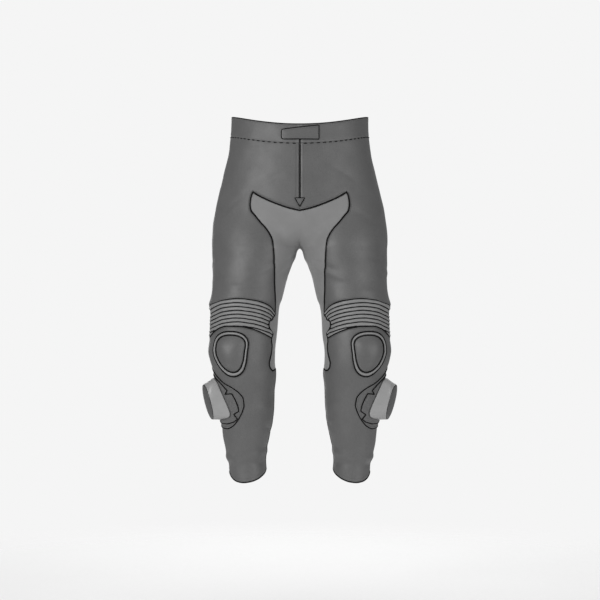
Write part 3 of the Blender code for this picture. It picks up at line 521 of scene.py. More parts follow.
def make_seams():
    """Every seam and edge of one side, as fine spots."""
    side_top = float(band_seam(SIDE_SEAM[0][1]))
    side_start = float(SIDE_ANGLE(side_top))
    knee_out = RIBS[-1, -1]
    back_upper = seen(GUSSET_BACK_UPPER, at_back=True)
    knee_in = back_upper[-1]
    hem_side = float(SIDE_ANGLE(HEM_AT_SIDE))

    def knee_line(angle):
        share = (angle - knee_out[0]) / (knee_in[0] - knee_out[0])
        straight = knee_out[1] + share * (knee_in[1] - knee_out[1])
        return straight - BACK_KNEE_SAG * math.sin(math.pi * share)

    # closer together near the crotch, where the centre line turns from down to level
    near_crotch = (1 - np.linspace(0, 1, CROTCH_SPOTS)) ** 2
    front_rise = CROTCH + (GUSSET_TOP[0][1] - CROTCH) * near_crotch
    back_rise = CROTCH + (GUSSET_BACK_UPPER[0][1] - CROTCH) * near_crotch
    return {
        "band_front": round_leg(band_seam, FLY_START, side_start),
        "band_back": round_leg(band_seam, side_start, 360),
        "fly": down_leg(fly_angle, float(band_seam(0)), FLY_END),
        "centre_front": fine([(0, FLY_END), (0, GUSSET_TOP[0][1])]),
        "gusset_top": fine(seen(GUSSET_TOP)),
        "gusset_upper": fine(seen(GUSSET_UPPER)),
        "rib_inner": RIBS[::RIB_SEAM_STEP, 0],
        "rib_outer": RIBS[::RIB_SEAM_STEP, -1],
        "rib_top": RIBS[0],
        "rib_bottom": RIBS[-1],
        "gusset_lower": fine(np.vstack([seen(GUSSET_LOWER), (0.0, GUSSET_TIP)])),
        "gusset_back_upper": fine(back_upper),
        "gusset_back_lower": fine(np.vstack([seen(GUSSET_BACK_LOWER, at_back=True), (360.0, GUSSET_TIP)])),
        "crotch_front": np.array([(0.0, h) for h in front_rise]),
        "crotch_back": np.array([(360.0, h) for h in back_rise]),
        "inseam_upper": down_leg(lambda h: 0.0, CROTCH, GUSSET_TIP),
        "inseam_lower": down_leg(lambda h: 0.0, GUSSET_TIP, float(HEM_LINE(0))),
        "centre_back": down_leg(lambda h: 360.0, float(band_seam(360)), GUSSET_BACK_UPPER[0][1]),
        "side_upper": down_leg(SIDE_ANGLE, side_top, float(RIBS[0, -1, 1])),
        "side_lower": down_leg(SIDE_ANGLE, float(knee_out[1]), float(HEM_LINE(hem_side))),
        "knee_back": round_leg(knee_line, float(knee_out[0]), float(knee_in[0])),
        "hem_front": round_leg(HEM_LINE, 0, hem_side),
        "hem_back": round_leg(HEM_LINE, hem_side, 360),
    }


SEAMS = make_seams()
print("seams:", len(SEAMS))

# %% [markdown]
# ## Cutting a panel
#
# A panel is cut as a flat piece: its outline is moved in by half the seam's width, two rows of
# points follow its edge, where the leather rolls down to the seam, and a plain lattice fills the
# rest. The result is a flat triangle mesh, with each point's distance to its edge.

# %% Flat panels
PIPED_SEAM = 1.8
PLAIN_SEAM = 0.25
FREE_EDGE = 0.2
JOINED = -1.0
SEAM_WIDTHS = {
    "band_front": PLAIN_SEAM, "band_back": PLAIN_SEAM, "fly": FREE_EDGE, "centre_front": PLAIN_SEAM,
    "hem_front": FREE_EDGE, "hem_back": FREE_EDGE, "inseam_upper": PLAIN_SEAM,
    "crotch_front": JOINED, "crotch_back": JOINED,
}
EDGE_ROWS = (1.4, 3.3)
ROW_CLEAR = 0.8
LATTICE_CLEAR = 0.45
FLAT_BEND = {"height": 16.0, "from_centre": 20.0}
SHARP_CORNER = 0.3
LONGEST_MITRE = 2.4
KEEP_INSIDE = 1
SAME_POINT = 1e-4
SLIVER = 1e-6


def outline(*names):
    """A closed outline from named seams, and the seam width at each of its spots.

    A leading minus runs a seam backwards, and a star takes it at 360 degrees."""
    spots, widths = [], []
    for name in names:
        key = name.strip("-*")
        seam = SEAMS[key].copy()
        if "*" in name:
            seam[:, 0] = 360.0
        if name.startswith("-"):
            seam = seam[::-1]
        keep = len(seam) - 1
        spots.append(seam[:keep])
        widths += [SEAM_WIDTHS.get(key, PIPED_SEAM)] * keep
    return np.vstack(spots), np.array(widths)


def inside(points, loop):
    """Which flat points are inside a closed loop."""
    odd = np.zeros(len(points), bool)
    for (x1, y1), (x2, y2) in zip(loop, np.roll(loop, -1, 0)):
        if y1 != y2:
            crosses = (y1 > points[:, 1]) != (y2 > points[:, 1])
            odd ^= crosses & (points[:, 0] < x1 + (points[:, 1] - y1) * (x2 - x1) / (y2 - y1))
    return odd


def edge_distance(points, loop, counted=None):
    """Shortest distance from each flat point to the counted sides of a loop."""
    best = np.full(len(points), 1e9)
    following = np.roll(loop, -1, 0)
    for k, (a, b) in enumerate(zip(loop, following)):
        if counted is None or counted[k]:
            side = b - a
            along = np.clip((points - a) @ side / max(side @ side, 1e-12), 0, 1)
            gap = np.hypot(*(points - a - along[:, None] * side).T)
            best = np.minimum(best, gap)
    return best


def inward(loop, by):
    """A loop whose sides are moved in, each by its own distance."""
    by = np.broadcast_to(by, len(loop)).astype(float)
    side = np.roll(loop, -1, 0) - loop
    length = np.maximum(np.hypot(side[:, 0], side[:, 1]), 1e-9)[:, None]
    area = np.sum(loop[:, 0] * np.roll(loop[:, 1], -1) - np.roll(loop[:, 0], -1) * loop[:, 1])
    normal = np.stack([-side[:, 1], side[:, 0]], 1) / length * np.sign(area)
    before, before_by = np.roll(normal, 1, 0), np.roll(by, 1)
    cross = before[:, 0] * normal[:, 1] - before[:, 1] * normal[:, 0]
    corner = np.stack([before_by * normal[:, 1] - by * before[:, 1],
                       before[:, 0] * by - normal[:, 0] * before_by], 1)
    sharp = (np.abs(cross) > SHARP_CORNER)[:, None]
    corner = corner / np.where(sharp, cross[:, None], 1.0)
    together = np.maximum(1 + np.sum(normal * before, 1), 0.5)[:, None]
    straight = (normal + before) / together * ((by + before_by) / 2)[:, None]
    move = np.where(sharp, corner, straight)
    reach = np.maximum(np.hypot(move[:, 0], move[:, 1]), 1e-9)
    most = LONGEST_MITRE * np.maximum(by, before_by)
    return loop + move * np.minimum(1, most / reach)[:, None]


def at_bend(spots):
    """Which spots are near the crotch's height, where the flat pattern bends sharply off the centre."""
    from_centre = np.minimum(spots[:, 0], 360 - spots[:, 0])
    return (np.abs(spots[:, 1] - CROTCH) < FLAT_BEND["height"]) & (from_centre > FLAT_BEND["from_centre"])


def cut_cloth(loop, widths=0.0, step=MESH_STEP, extra=()):
    """Flat points, triangles and edge distances of the cloth inside a loop of flat points."""
    widths = np.broadcast_to(widths, len(loop)).astype(float)
    free = widths >= 0
    edge = inward(loop, np.maximum(widths, 0))
    # the seams run straight down there, so their edges move level
    bent = at_bend(to_spots(loop)) & free
    level = np.sign(edge[:, 0] - loop[:, 0]) * widths
    edge[bent] = loop[bent]
    edge[bent, 0] += level[bent]
    points = [edge]
    for depth in EDGE_ROWS:
        row = inward(edge, depth)[free]
        clear = edge_distance(row, edge) > depth * ROW_CLEAR
        points.append(row[clear & inside(row, edge)])
    low, high = edge.min(0), edge.max(0)
    rise = step * math.sqrt(3) / 2
    rows = np.arange(math.floor(low[1] / rise), math.ceil(high[1] / rise) + 1)
    cells = np.arange(math.floor(low[0] / step) - 1, math.ceil(high[0] / step) + 2)
    lattice = np.array([((c + r % 2 / 2) * step, r * rise) for r in rows for c in cells])
    if len(extra):
        lattice = np.vstack([lattice, extra])
    lattice = lattice[inside(lattice, edge)]
    lattice = lattice[edge_distance(lattice, edge) > EDGE_ROWS[-1] + LATTICE_CLEAR * step]
    points.append(lattice)
    flats = np.vstack(points)
    count = len(edge)
    sides = [(k, (k + 1) % count) for k in range(count)]
    made = delaunay_2d_cdt(flats.tolist(), sides, [], KEEP_INSIDE, SAME_POINT)
    source = np.array([ids[0] for ids in made[3]])
    triangles = source[np.array(made[2])]
    corners = flats[triangles]
    turn = np.cross(corners[:, 1] - corners[:, 0], corners[:, 2] - corners[:, 0])
    triangles[turn < 0] = triangles[turn < 0][:, ::-1]
    triangles = triangles[inside(corners.mean(1), edge) & (np.abs(turn) > SLIVER)]
    return flats, triangles, edge_distance(flats, edge, free)


# %% [markdown]
# ## From flat panels to cloth
#
# Each panel becomes a thin closed shell: the outer face, an inner face one wall away and a rim
# between them. The outer face has the finish of its material and the inner face the rough flesh
# side, as real leather has. What runs in rows instead, such as ribs, rings and beads, is a lattice
# of triangles, and a tube is a lattice that closes on itself.

# %% Shells
MATERIALS = {}
PIECES = {}
SHARP_EDGE = math.radians(55)
ROLL = {"depth": 1.7, "width": 1.5}


def make_mesh(name, points, triangles, materials, faces_of=None):
    """A smooth mesh object in metres that rides on the frame. faces_of picks each face's material."""
    mesh = bpy.data.meshes.new(name)
    mesh.from_pydata((np.asarray(points) * MM).tolist(), [], np.asarray(triangles).tolist())
    for material in materials:
        mesh.materials.append(MATERIALS[material])
    if faces_of is not None:
        mesh.polygons.foreach_set("material_index", np.asarray(faces_of, np.int32))
    mesh.shade_smooth()
    mesh.set_sharp_from_angle(angle=SHARP_EDGE)
    thing = bpy.data.objects.new(name, mesh)
    bpy.context.scene.collection.objects.link(thing)
    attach(thing, "root")
    PIECES[name] = thing
    return thing


def shell_arrays(outer, inner, triangles):
    """Points, triangles and inside flags of the closed shell between two faces."""
    count = len(outer)
    edges = np.vstack([triangles[:, [0, 1]], triangles[:, [1, 2]], triangles[:, [2, 0]]])
    keys = edges[:, 0] * count + edges[:, 1]
    rim = edges[~np.isin(keys, edges[:, 1] * count + edges[:, 0])]
    walls = np.vstack([
        np.stack([rim[:, 1], rim[:, 0], rim[:, 0] + count], 1),
        np.stack([rim[:, 1], rim[:, 0] + count, rim[:, 1] + count], 1),
    ])
    faces = np.vstack([triangles, triangles[:, ::-1] + count, walls])
    flags = np.concatenate([np.zeros(len(triangles)), np.ones(len(triangles)), np.zeros(len(walls))])
    return np.vstack([outer, inner]), faces, flags


def facing(triangles, side):
    """Triangles of the left side, turned round where the right side mirrors them."""
    return triangles if SIDES[side] > 0 else triangles[:, ::-1]


def joined(parts):
    """Points and triangles of several meshes as one."""
    starts = np.cumsum([0] + [len(points) for points, _ in parts])
    faces = [triangles + start for (_, triangles), start in zip(parts, starts)]
    return np.vstack([points for points, _ in parts]), np.vstack(faces)


def shell(name, side, spots, triangles, lift, wall, materials):
    """One side's cloth piece from spots, raised by lift, with a wall of this thickness."""
    outer, out = place(spots, side, lift)
    inner = outer - out * np.broadcast_to(wall, len(spots))[:, None]
    points, faces, flags = shell_arrays(outer, inner, facing(triangles, side))
    return make_mesh(name, points, faces, materials, flags)


def roll(distance, depth=ROLL["depth"]):
    """How far the cloth sinks towards a seam, at a distance from its edge."""
    return -depth * np.exp(-distance / ROLL["width"])


# %% Lattices and tubes
def grid_triangles(rows, columns, closed=False):
    """Two triangles for each cell of a grid whose rows go down and whose columns go round."""
    across = columns if closed else columns - 1
    r, c = np.meshgrid(np.arange(rows - 1), np.arange(across), indexing="ij")
    start, end = r * columns + c, r * columns + (c + 1) % columns
    first = np.stack([start, start + columns, end + columns], -1)
    second = np.stack([start, end + columns, end], -1)
    return np.concatenate([first, second]).reshape(-1, 3)


def tube_triangles(rings, sides, closed=False):
    """Triangles of a tube through rings of points, with flat ends unless it is closed."""
    if closed:
        return grid_triangles(rings + 1, sides, closed=True)[:, ::-1] % (rings * sides)
    last = (rings - 1) * sides
    ends = [(0, k, k + 1) for k in range(1, sides - 1)]
    ends += [(last, last + k + 1, last + k) for k in range(1, sides - 1)]
    return np.vstack([grid_triangles(rings, sides, closed=True)[:, ::-1], ends])


# %% Flat cuts
def flat_box(flats):
    """Width and length in metres of a flat cut."""
    return [float(size) for size in (flats.max(0) - flats.min(0)) * MM]


def cut_area(spots, triangles):
    """Area of a cut in square metres, measured on the leg."""
    places = leg_surface(spots[:, 0], spots[:, 1])[triangles] * MM
    crosses = np.cross(places[:, 1] - places[:, 0], places[:, 2] - places[:, 0])
    return float(np.linalg.norm(crosses, axis=1).sum() / 2)


def declare_sheet(thing, size, area):
    """States the flat cut of a cloth piece. The width and length grow if the area needs more."""
    grow = max(1.0, math.sqrt(area / (size[0] * size[1])))
    flat = [size[0] * grow, size[1] * grow]
    width, length = (side / MM for side in flat)
    print("%-26s cut %4.0f x %4.0f mm, %4.0f cm2" % (thing.name, width, length, area * 1e4))


def cloth_pair(stem, spots, triangles, lift, wall, materials, node):
    """The left and right cloth pieces of one panel."""
    size, area = flat_box(to_flat(spots)), cut_area(spots, triangles)
    for side in SIDES:
        thing = shell(stem + "_" + side, side, spots, triangles, lift, wall, materials)
        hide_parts(node + "_" + side)
        declare_sheet(thing, size, area)


# %% [markdown]
# ## Materials
#
# A material here is the real substance: what it is made of and how its surface was finished. One
# small function adds a node with its settings and links, and each pattern's scale comes from the
# real size of a grain, a thread or a loop. Patterns finer than a pixel of a close view are
# coarsened, which the comments say.

# %% Material helpers
def linear(colour):
    """A screen colour such as '#808080' as linear red, green, blue and alpha."""
    values = [int(colour[k:k + 2], 16) / 255 for k in (1, 3, 5)]
    return [v / 12.92 if v < 0.04045 else ((v + 0.055) / 1.055) ** 2.4 for v in values] + [1.0]


def add_node(material, kind, inputs=None, **settings):
    """Adds a node, sets it, and fills its inputs with values or with other nodes' outputs."""
    node = material.node_tree.nodes.new(kind)
    for key, value in settings.items():
        setattr(node, key, value)
    for key, value in (inputs or {}).items():
        if isinstance(value, bpy.types.NodeSocket):
            material.node_tree.links.new(value, node.inputs[key])
        else:
            node.inputs[key].default_value = value
    return node


def new_material(name, colour, **settings):
    """A material with its plain surface values, and its shader and position nodes."""
    material = bpy.data.materials.new(name)
    material.use_nodes = True
    shader = material.node_tree.nodes["Principled BSDF"]
    shader.inputs["Base Color"].default_value = linear(colour)
    for key, value in settings.items():
        shader.inputs[key.replace("_", " ")].default_value = value
    position = add_node(material, "ShaderNodeTexCoord").outputs["Object"]
    return material, shader, position


def mix_colours(material, amount, first, second):
    """A colour that goes from the first to the second as amount goes from 0 to 1."""
    mixed = add_node(material, "ShaderNodeMix", data_type="RGBA")
    material.node_tree.links.new(amount, mixed.inputs[0])
    for socket, colour in ((mixed.inputs[6], first), (mixed.inputs[7], second)):
        if isinstance(colour, bpy.types.NodeSocket):
            material.node_tree.links.new(colour, socket)
        else:
            socket.default_value = linear(colour)
    return mixed.outputs[2]


def shade(colour, factor):
    """A screen colour made lighter or darker."""
    return "#" + "".join("%02x" % min(255, round(int(colour[k:k + 2], 16) * factor)) for k in (1, 3, 5))


def noise(material, position, size, detail, **inputs):
    """A soft random pattern whose patches are about this many millimetres across."""
    inputs = {"Vector": position, "Scale": 1 / MM / size, "Detail": detail, **inputs}
    return add_node(material, "ShaderNodeTexNoise", inputs).outputs["Fac"]


def remap(material, value, low, high, to_low=0.0, to_high=1.0, **settings):
    """A value that runs from low to high, moved to another range."""
    inputs = {"Value": value, "From Min": low, "From Max": high, "To Min": to_low, "To Max": to_high}
    return add_node(material, "ShaderNodeMapRange", inputs, **settings).outputs["Result"]


def weighted(material, value, factor, added=0.0):
    """A value times a factor, with another value added."""
    inputs = {0: value, 1: factor, 2: added}
    return add_node(material, "ShaderNodeMath", inputs, operation="MULTIPLY_ADD").outputs[0]


def join_shader(material, shader, colour, height, strength, depth, gloss=None):
    """Gives the shader its colour, a bump of this depth in millimetres, and its gloss if that varies."""
    bump = add_node(material, "ShaderNodeBump", {"Height": height, "Strength": strength,
                    "Distance": depth * MM}).outputs["Normal"]
    links = material.node_tree.links
    links.new(colour, shader.inputs["Base Color"])
    links.new(bump, shader.inputs["Normal"])
    if gloss is not None:
        links.new(gloss, shader.inputs["Roughness"])


# %% [markdown]
# ### Cowhide with an embossed grain
#
# Race leather is 1.2 mm cowhide. Its pigment finish is pressed with a pebble grain of about
# 1.7 mm, which gives soft broken highlights. Here the grain is a cell pattern, with pores in it,
# and a slow change of tone over a few centimetres that comes from the hide. The valleys carry
# painted shade, a darker colour, and ridges and edges are rubbed a little paler.

# %% Leather
PORE = 0.9
HIDE_PATCH = 55.0
GRAIN_BLUR = 0.6
VALLEY_RANGE = (0.25, 0.75)
# nearly all the values of a noise lie in this range
NOISE_RANGE = (0.3, 0.7)
GLOSS_SWING = 0.04
# from which curvature on an edge is rubbed, where it is rubbed most, how much, and how pale
RUBBED = {"from": 0.515, "to": 0.60, "share": 0.35, "tone": 1.45}


def leather(name, colour, grain=1.7, relief=0.22, roughness=0.52):
    """Pigmented cowhide, or a softer one with a finer grain."""
    material, shader, position = new_material(name, colour, Roughness=roughness, IOR=1.5)
    cells = add_node(material, "ShaderNodeTexVoronoi", {"Vector": position, "Scale": 1 / MM / grain,
                     "Smoothness": GRAIN_BLUR}, feature="SMOOTH_F1").outputs["Distance"]
    pores = noise(material, position, PORE, 3.0)
    hide = noise(material, position, HIDE_PATCH, 4.0, Roughness=0.6)
    valley = remap(material, cells, *VALLEY_RANGE)
    age = remap(material, hide, *NOISE_RANGE)
    aged = mix_colours(material, age, shade(colour, 0.97), shade(colour, 1.03))
    # painted shade: the grain's valleys are darkened in colour, on top of their bump
    valley_shaded_colour = mix_colours(material, weighted(material, valley, 0.35), aged, shade(colour, 0.72))
    # ridges and edges, where the surface curves outwards, are rubbed paler
    curved = add_node(material, "ShaderNodeNewGeometry").outputs["Pointiness"]
    rubbed = remap(material, curved, RUBBED["from"], RUBBED["to"], 0.0, RUBBED["share"])
    final = mix_colours(material, rubbed, valley_shaded_colour, shade(colour, RUBBED["tone"]))
    gloss = remap(material, hide, *NOISE_RANGE, roughness + GLOSS_SWING, roughness - GLOSS_SWING)
    height = weighted(material, pores, 0.35, weighted(material, valley, -1.0))
    join_shader(material, shader, final, height, 0.7, relief, gloss)
    return material


MATERIALS["leather"] = leather("pebbled cowhide", "#5a5a5a")
MATERIALS["rib_leather"] = leather("soft ribbed goatskin", "#7f7f7f", grain=1.1, relief=0.10, roughness=0.5)
MATERIALS["cup_leather"] = leather("cowhide over moulded cup", "#5a5a5a", relief=0.16, roughness=0.52)

# %% [markdown]
# ### Woven, knitted and pressed cloth
#
# The gusset is a stretch twill of nylon and elastane: fine slanted lines and a soft sheen from
# the fibres. The patch is the loop half of a hook-and-loop fastener, a dull pile. Thread is spun
# polyester. The flesh side of the leather inside is a short nap.

# %% Cloth
WAVE_PERIOD = 314.0
THREADS_PER_RIB = 1.4
TWILL_TURN = (0.5, 0.5, 0.6)
TONE_PATCH = 40.0
TUFT_RANGE = (0.35, 0.65)
FIBRE_GLINT = 0.12


def twill(name, colour, rib=1.5):
    """Stretch twill: slanted ribs crossed by finer threads. The real rib is nearer 0.7 mm."""
    material, shader, position = new_material(name, colour, Roughness=0.82, IOR=1.5, Sheen_Weight=0.25,
                                              Sheen_Roughness=0.4)
    turned = add_node(material, "ShaderNodeMapping", {"Vector": position,
                      "Rotation": TWILL_TURN}).outputs["Vector"]
    # a wave texture of scale 1 has a period of 314 mm
    ribs = add_node(material, "ShaderNodeTexWave", {"Vector": turned, "Scale": WAVE_PERIOD / rib,
                    "Distortion": 0.6, "Detail": 1.0}, bands_direction="Z").outputs["Fac"]
    crossing = WAVE_PERIOD / rib * THREADS_PER_RIB
    threads = add_node(material, "ShaderNodeTexWave", {"Vector": turned, "Scale": crossing,
                       "Distortion": 0.8, "Detail": 1.0}, bands_direction="X").outputs["Fac"]
    weave = weighted(material, threads, 0.5, ribs)
    slow = noise(material, position, TONE_PATCH, 3.0)
    toned = mix_colours(material, slow, shade(colour, 0.94), shade(colour, 1.05))
    gaps = remap(material, weave, 0.0, 1.5, 0.35, 0.0)
    final = mix_colours(material, gaps, toned, shade(colour, 0.6))
    join_shader(material, shader, final, weave, 0.6, 0.18)
    return material


def pile(name, colour, loop, relief, sheen):
    """A napped or looped surface: fine noise in height and tone."""
    material, shader, position = new_material(name, colour, Roughness=0.95, IOR=1.5, Sheen_Weight=sheen,
                                              Sheen_Roughness=0.5)
    # light is caught between the fibres, so almost nothing is mirrored back
    shader.inputs["Specular IOR Level"].default_value = FIBRE_GLINT
    tufts = noise(material, position, loop, 4.0, Roughness=0.65)
    spread = remap(material, tufts, *TUFT_RANGE)
    final = mix_colours(material, spread, shade(colour, 0.78), shade(colour, 1.16))
    join_shader(material, shader, final, tufts, 0.8, relief)
    return material


MATERIALS["twill"] = twill("stretch nylon twill", "#838383")
MATERIALS["flesh"] = pile("leather flesh side", "#4c4c4c", loop=2.0, relief=0.3, sheen=0.1)
MATERIALS["loops"] = pile("hook-and-loop pile", "#5e5e5e", loop=1.6, relief=0.6, sheen=0.3)
MATERIALS["tape"] = pile("woven zip tape", "#161616", loop=0.9, relief=0.1, sheen=0.1)
MATERIALS["seam_tape"] = pile("woven seam tape", "#3a3a3a", loop=1.2, relief=0.15, sheen=0.1)
MATERIALS["dark_thread"] = pile("black spun polyester thread", "#101010", loop=0.7, relief=0.1, sheen=0.0)
MATERIALS["piping"] = pile("matte black cotton piping", "#121212", loop=0.8, relief=0.1, sheen=0.0)
MATERIALS["grey_thread"] = pile("grey spun polyester thread", "#525252", loop=0.7, relief=0.1, sheen=0.2)

# %% [markdown]
# ### Moulded plastics
#
# A knee slider is cast polyurethane: a satin skin with a faint flow texture. Its sliding face is
# a harder disc, darker and a little smoother. The zip's coil is bent nylon monofilament. The same
# black colours the groove round each slider's disc, where it is painted shade.

# %% Plastic
FLOW_PATCH = 22.0


def moulded(name, colour, roughness, texture=1.4, relief=0.05):
    """Cast or moulded plastic with a fine skin texture and a slow change in gloss."""
    material, shader, position = new_material(name, colour, Roughness=roughness, IOR=1.5)
    skin = noise(material, position, texture, 4.0)
    flow = noise(material, position, FLOW_PATCH, 3.0, Distortion=0.6)
    final = mix_colours(material, flow, shade(colour, 0.95), shade(colour, 1.04))
    gloss = remap(material, flow, *NOISE_RANGE, roughness - 0.06, roughness + 0.08)
    join_shader(material, shader, final, skin, 0.5, relief, gloss)
    return material


MATERIALS["slider"] = moulded("cast polyurethane", "#8d8d8d", 0.44)
MATERIALS["slider_face"] = moulded("hard polyurethane disc", "#4c4c4c", 0.42)
# black nylon for the zip; on the sliders the same black is painted shade in the groove and its ring
MATERIALS["nylon"] = moulded("black nylon coil", "#1a1a1a", 0.35, texture=0.8)
print("materials:", len(MATERIALS))

# %% [markdown]
# ## Leather panels
#
# Eight panels make the trousers: front thigh, back thigh, shin and calf on each side. They are
# cut from 1.2 mm leather, and their edges roll down into the seams.

# %% Thighs, shins and calves
LEATHER_WALL = 1.2
PANEL_OUTLINES = {
    "front_thigh": ("band_front", "side_upper", "-rib_top", "-gusset_upper", "-gusset_top",
                    "-centre_front", "-fly"),
    "back_thigh": ("band_back", "centre_back", "gusset_back_upper", "-knee_back", "-rib_outer",
                   "-side_upper"),
    "front_shin": ("rib_bottom", "side_lower", "-hem_front", "-inseam_lower", "-gusset_lower"),
    "back_calf": ("knee_back", "gusset_back_lower", "inseam_lower*", "-hem_back", "-side_lower"),
}
for panel, names in PANEL_OUTLINES.items():
    spots, widths = outline(*names)
    flats, triangles, distance = cut_cloth(to_flat(spots), widths)
    cloth_pair("leather_" + panel, to_spots(flats), triangles, roll(distance), LEATHER_WALL,
               ("leather", "flesh"), panel)

# %% [markdown]
# ## Stretch gusset
#
# The gusset is one piece of twill across both legs in front of the inseam and another behind it.
# The wearer straddles a machine, so this is where the trousers must give. Both halves share their
# points along the centre plane, and extra rows of points follow the tight curve of the crotch.

# %% Gusset
TWILL_WALL = 1.0
TWILL_ROLL = 1.3
CROTCH_RISE = 70.0
CROTCH_ROWS = 22
CROTCH_FIRST = 0.03
CROTCH_ANGLES = np.arange(2.0, 46.0, 3.0)
CROTCH_DROPS = (1.5, 4.0, 8.0, 13.0)


def crotch_points(at_back):
    """Extra flat points where the cloth turns from hanging to level."""
    rises = CROTCH_RISE * np.linspace(CROTCH_FIRST, 1, CROTCH_ROWS) ** 2
    heights = [CROTCH + rise for rise in rises] + [CROTCH - drop for drop in CROTCH_DROPS]
    angles = 360 - CROTCH_ANGLES if at_back else CROTCH_ANGLES
    return to_flat([(angle, height) for height in heights for angle in angles])


def gusset(name, node, names, at_back):
    """A gusset across both legs, mirrored and joined along the centre plane."""
    spots, widths = outline(*names)
    flats, triangles, distance = cut_cloth(to_flat(spots), widths, extra=crotch_points(at_back))
    spots = to_spots(flats)
    centre = 360.0 if at_back else 0.0
    on_centre = (np.abs(spots[:, 0] - centre) < 1e-3) & (spots[:, 1] >= CROTCH - 0.01)
    spots[on_centre, 0] = centre
    count = len(spots)
    left, left_out = place(spots, "left", roll(distance, TWILL_ROLL))
    right, right_out = place(spots, "right", roll(distance, TWILL_ROLL))
    # on the centre plane both halves use the left half's points
    twin = np.where(on_centre, np.arange(count), np.arange(count) + count)
    both = np.vstack([triangles, twin[triangles][:, ::-1]])
    outer = np.vstack([left, right])
    out = np.vstack([left_out, right_out])
    points, faces, flags = shell_arrays(outer, outer - out * TWILL_WALL, both)
    used = np.unique(faces)
    place_of = np.full(len(points), -1)
    place_of[used] = np.arange(len(used))
    thing = make_mesh(name, points[used], place_of[faces], ("twill", "twill"), flags)
    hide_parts(node)
    width, length = flat_box(flats)
    declare_sheet(thing, [2 * width, length], 2 * cut_area(spots, triangles))


gusset("twill_gusset_front", "gusset_front",
       ("gusset_top", "gusset_upper", "rib_inner", "gusset_lower", "-inseam_upper", "-crotch_front"), False)
gusset("twill_gusset_back", "gusset_back",
       ("gusset_back_upper", "gusset_back_lower", "-inseam_upper*", "-crotch_back"), True)

# %% [markdown]
# ## Ribbed knee panels
#
# Above each knee, soft leather is stitched to elastic in parallel rows, so that it bulges between
# them and stretches when the knee bends. A rib is round on top and pinched at its stitching, and
# it dies away at both ends, where the panel is sewn in. The rows are evenly spaced from the top,
# and the curved edge of the shin cuts the lowest ones off, which leaves two wedges.

# %% Ribs
RIB_WALL = 1.0
RIB_HEIGHT = 3.6
RIB_SINK = 1.2
RIB_ROUND = 0.62
RIB_NARROW = 0.8
RIB_LEAST = 0.5
RIB_LENGTH = 275.0
RIB_FADE = {"length": 9.0, "power": 0.6}
RIB_BULGE = {"share": 0.10, "each_column": 0.9, "each_rib": 2.1}
RIB_CLEAR = 1.2
RIB_TUCK = 1.26


def ribs_passed():
    """How many ribs lie above each grid point, how far it is below the panel's top, and their spacing."""
    below = RIB_TOP_LINE(RIBS[..., 0]) - RIBS[..., 1]
    spacing = RIB_SPACING(RIBS[..., 0])
    return below / spacing, below, spacing


def rib_profile():
    """Height of the ribbed panel over its base at each grid point."""
    passed, below, spacing = ribs_passed()
    rib = np.floor(passed + 1e-6)
    into_rib = (passed - rib) * spacing
    # the lowest rib has only the room that the shin's edge leaves it
    room = np.clip(into_rib + below[-1] - below, RIB_LEAST, spacing)
    arch = np.sin(math.pi * np.clip(into_rib / room, 0, 1)) ** RIB_ROUND
    crest = arch * (room / spacing) ** RIB_NARROW
    column = np.arange(RIB_COLUMNS + 1)
    from_end = np.minimum(column, column[::-1]) / RIB_COLUMNS * RIB_LENGTH
    fade = np.clip(from_end / RIB_FADE["length"], 0, 1) ** RIB_FADE["power"]
    # slight bulges along each rib, out of step with its neighbours
    wave = np.sin(column[None, :] * RIB_BULGE["each_column"] + rib * RIB_BULGE["each_rib"])
    return crest * fade[None, :] * (1 + RIB_BULGE["share"] * wave) * RIB_HEIGHT - RIB_SINK


def rib_lines():
    """The stitched lines between the ribs. A line that runs into the lower seam ends there."""
    passed, below, spacing = ribs_passed()
    lines = []
    for number in range(1, int(passed.max()) + 1):
        run = []
        for column in range(1, RIB_COLUMNS):
            if below[-1, column] - number * spacing[-1, column] > RIB_CLEAR:
                run.append([np.interp(number, passed[:, column], RIBS[:, column, k]) for k in (0, 1)])
            else:
                lines.append(run)
                run = []
        lines.append(run)
    return [np.array(run) for run in lines if len(run) > 2]


def ribbed_panels():
    """The ribbed panel of each side, its ends tucked in a little at the seams."""
    spots = RIBS.copy()
    spots[:, :, 0] -= np.linspace(-1, 1, RIB_COLUMNS + 1) * RIB_TUCK
    cloth_pair("ribbed_panel", spots.reshape(-1, 2), grid_triangles(*RIBS.shape[:2]),
               rib_profile().ravel(), RIB_WALL, ("rib_leather", "flesh"), "knee_ribs")


ribbed_panels()

# %% [markdown]
# ## Knee cups
#
# A hard cup under the leather domes it over the knee, and a softer padded ring round it holds
# the cup's edge. The ring is a lighter leather, drawn as a pale band between two lines. Both are
# egg-shaped, broad at the top.

# %% Egg outline
KNEE_HEIGHT = -568.0
RING_OUTER = {"angle": 110.9, "half_width": 48.6, "up": 36.2, "down": 79.0}
RING_INNER = {"angle": 109.9, "half_width": 40.8, "up": 27.6, "down": 68.5}
EGG_TOP_POWER = 2.3
EGG_POINTS = 96


def egg(size):
    """Flat points of the knee ring's outline, broad at the top."""
    turn = np.linspace(0, 2 * math.pi, EGG_POINTS, endpoint=False)
    side, rise = np.cos(turn), np.sin(turn)
    power = np.where(rise > 0, 2 / EGG_TOP_POWER, 1.0)
    across = size["half_width"] * np.sign(side) * np.abs(side) ** power
    reach = np.where(rise > 0, size["up"], size["down"])
    height = KNEE_HEIGHT + reach * np.sign(rise) * np.abs(rise) ** power
    centre = (size["angle"] - 180) / 360 * girth(height)
    return np.stack([centre + across, height], 1)


def ring_line(share):
    """Flat points of a line on the ring: its outer edge at 0 and its inner edge at 1."""
    return egg(RING_OUTER) + share * (egg(RING_INNER) - egg(RING_OUTER))


def evenly(loop, step):
    """A closed loop with its points one step apart."""
    closed = np.vstack([loop, loop[:1]])
    run = run_along(closed)
    at = np.linspace(0, run[-1], int(round(run[-1] / step)), endpoint=False)
    return np.stack([np.interp(at, run, closed[:, k]) for k in (0, 1)], 1)


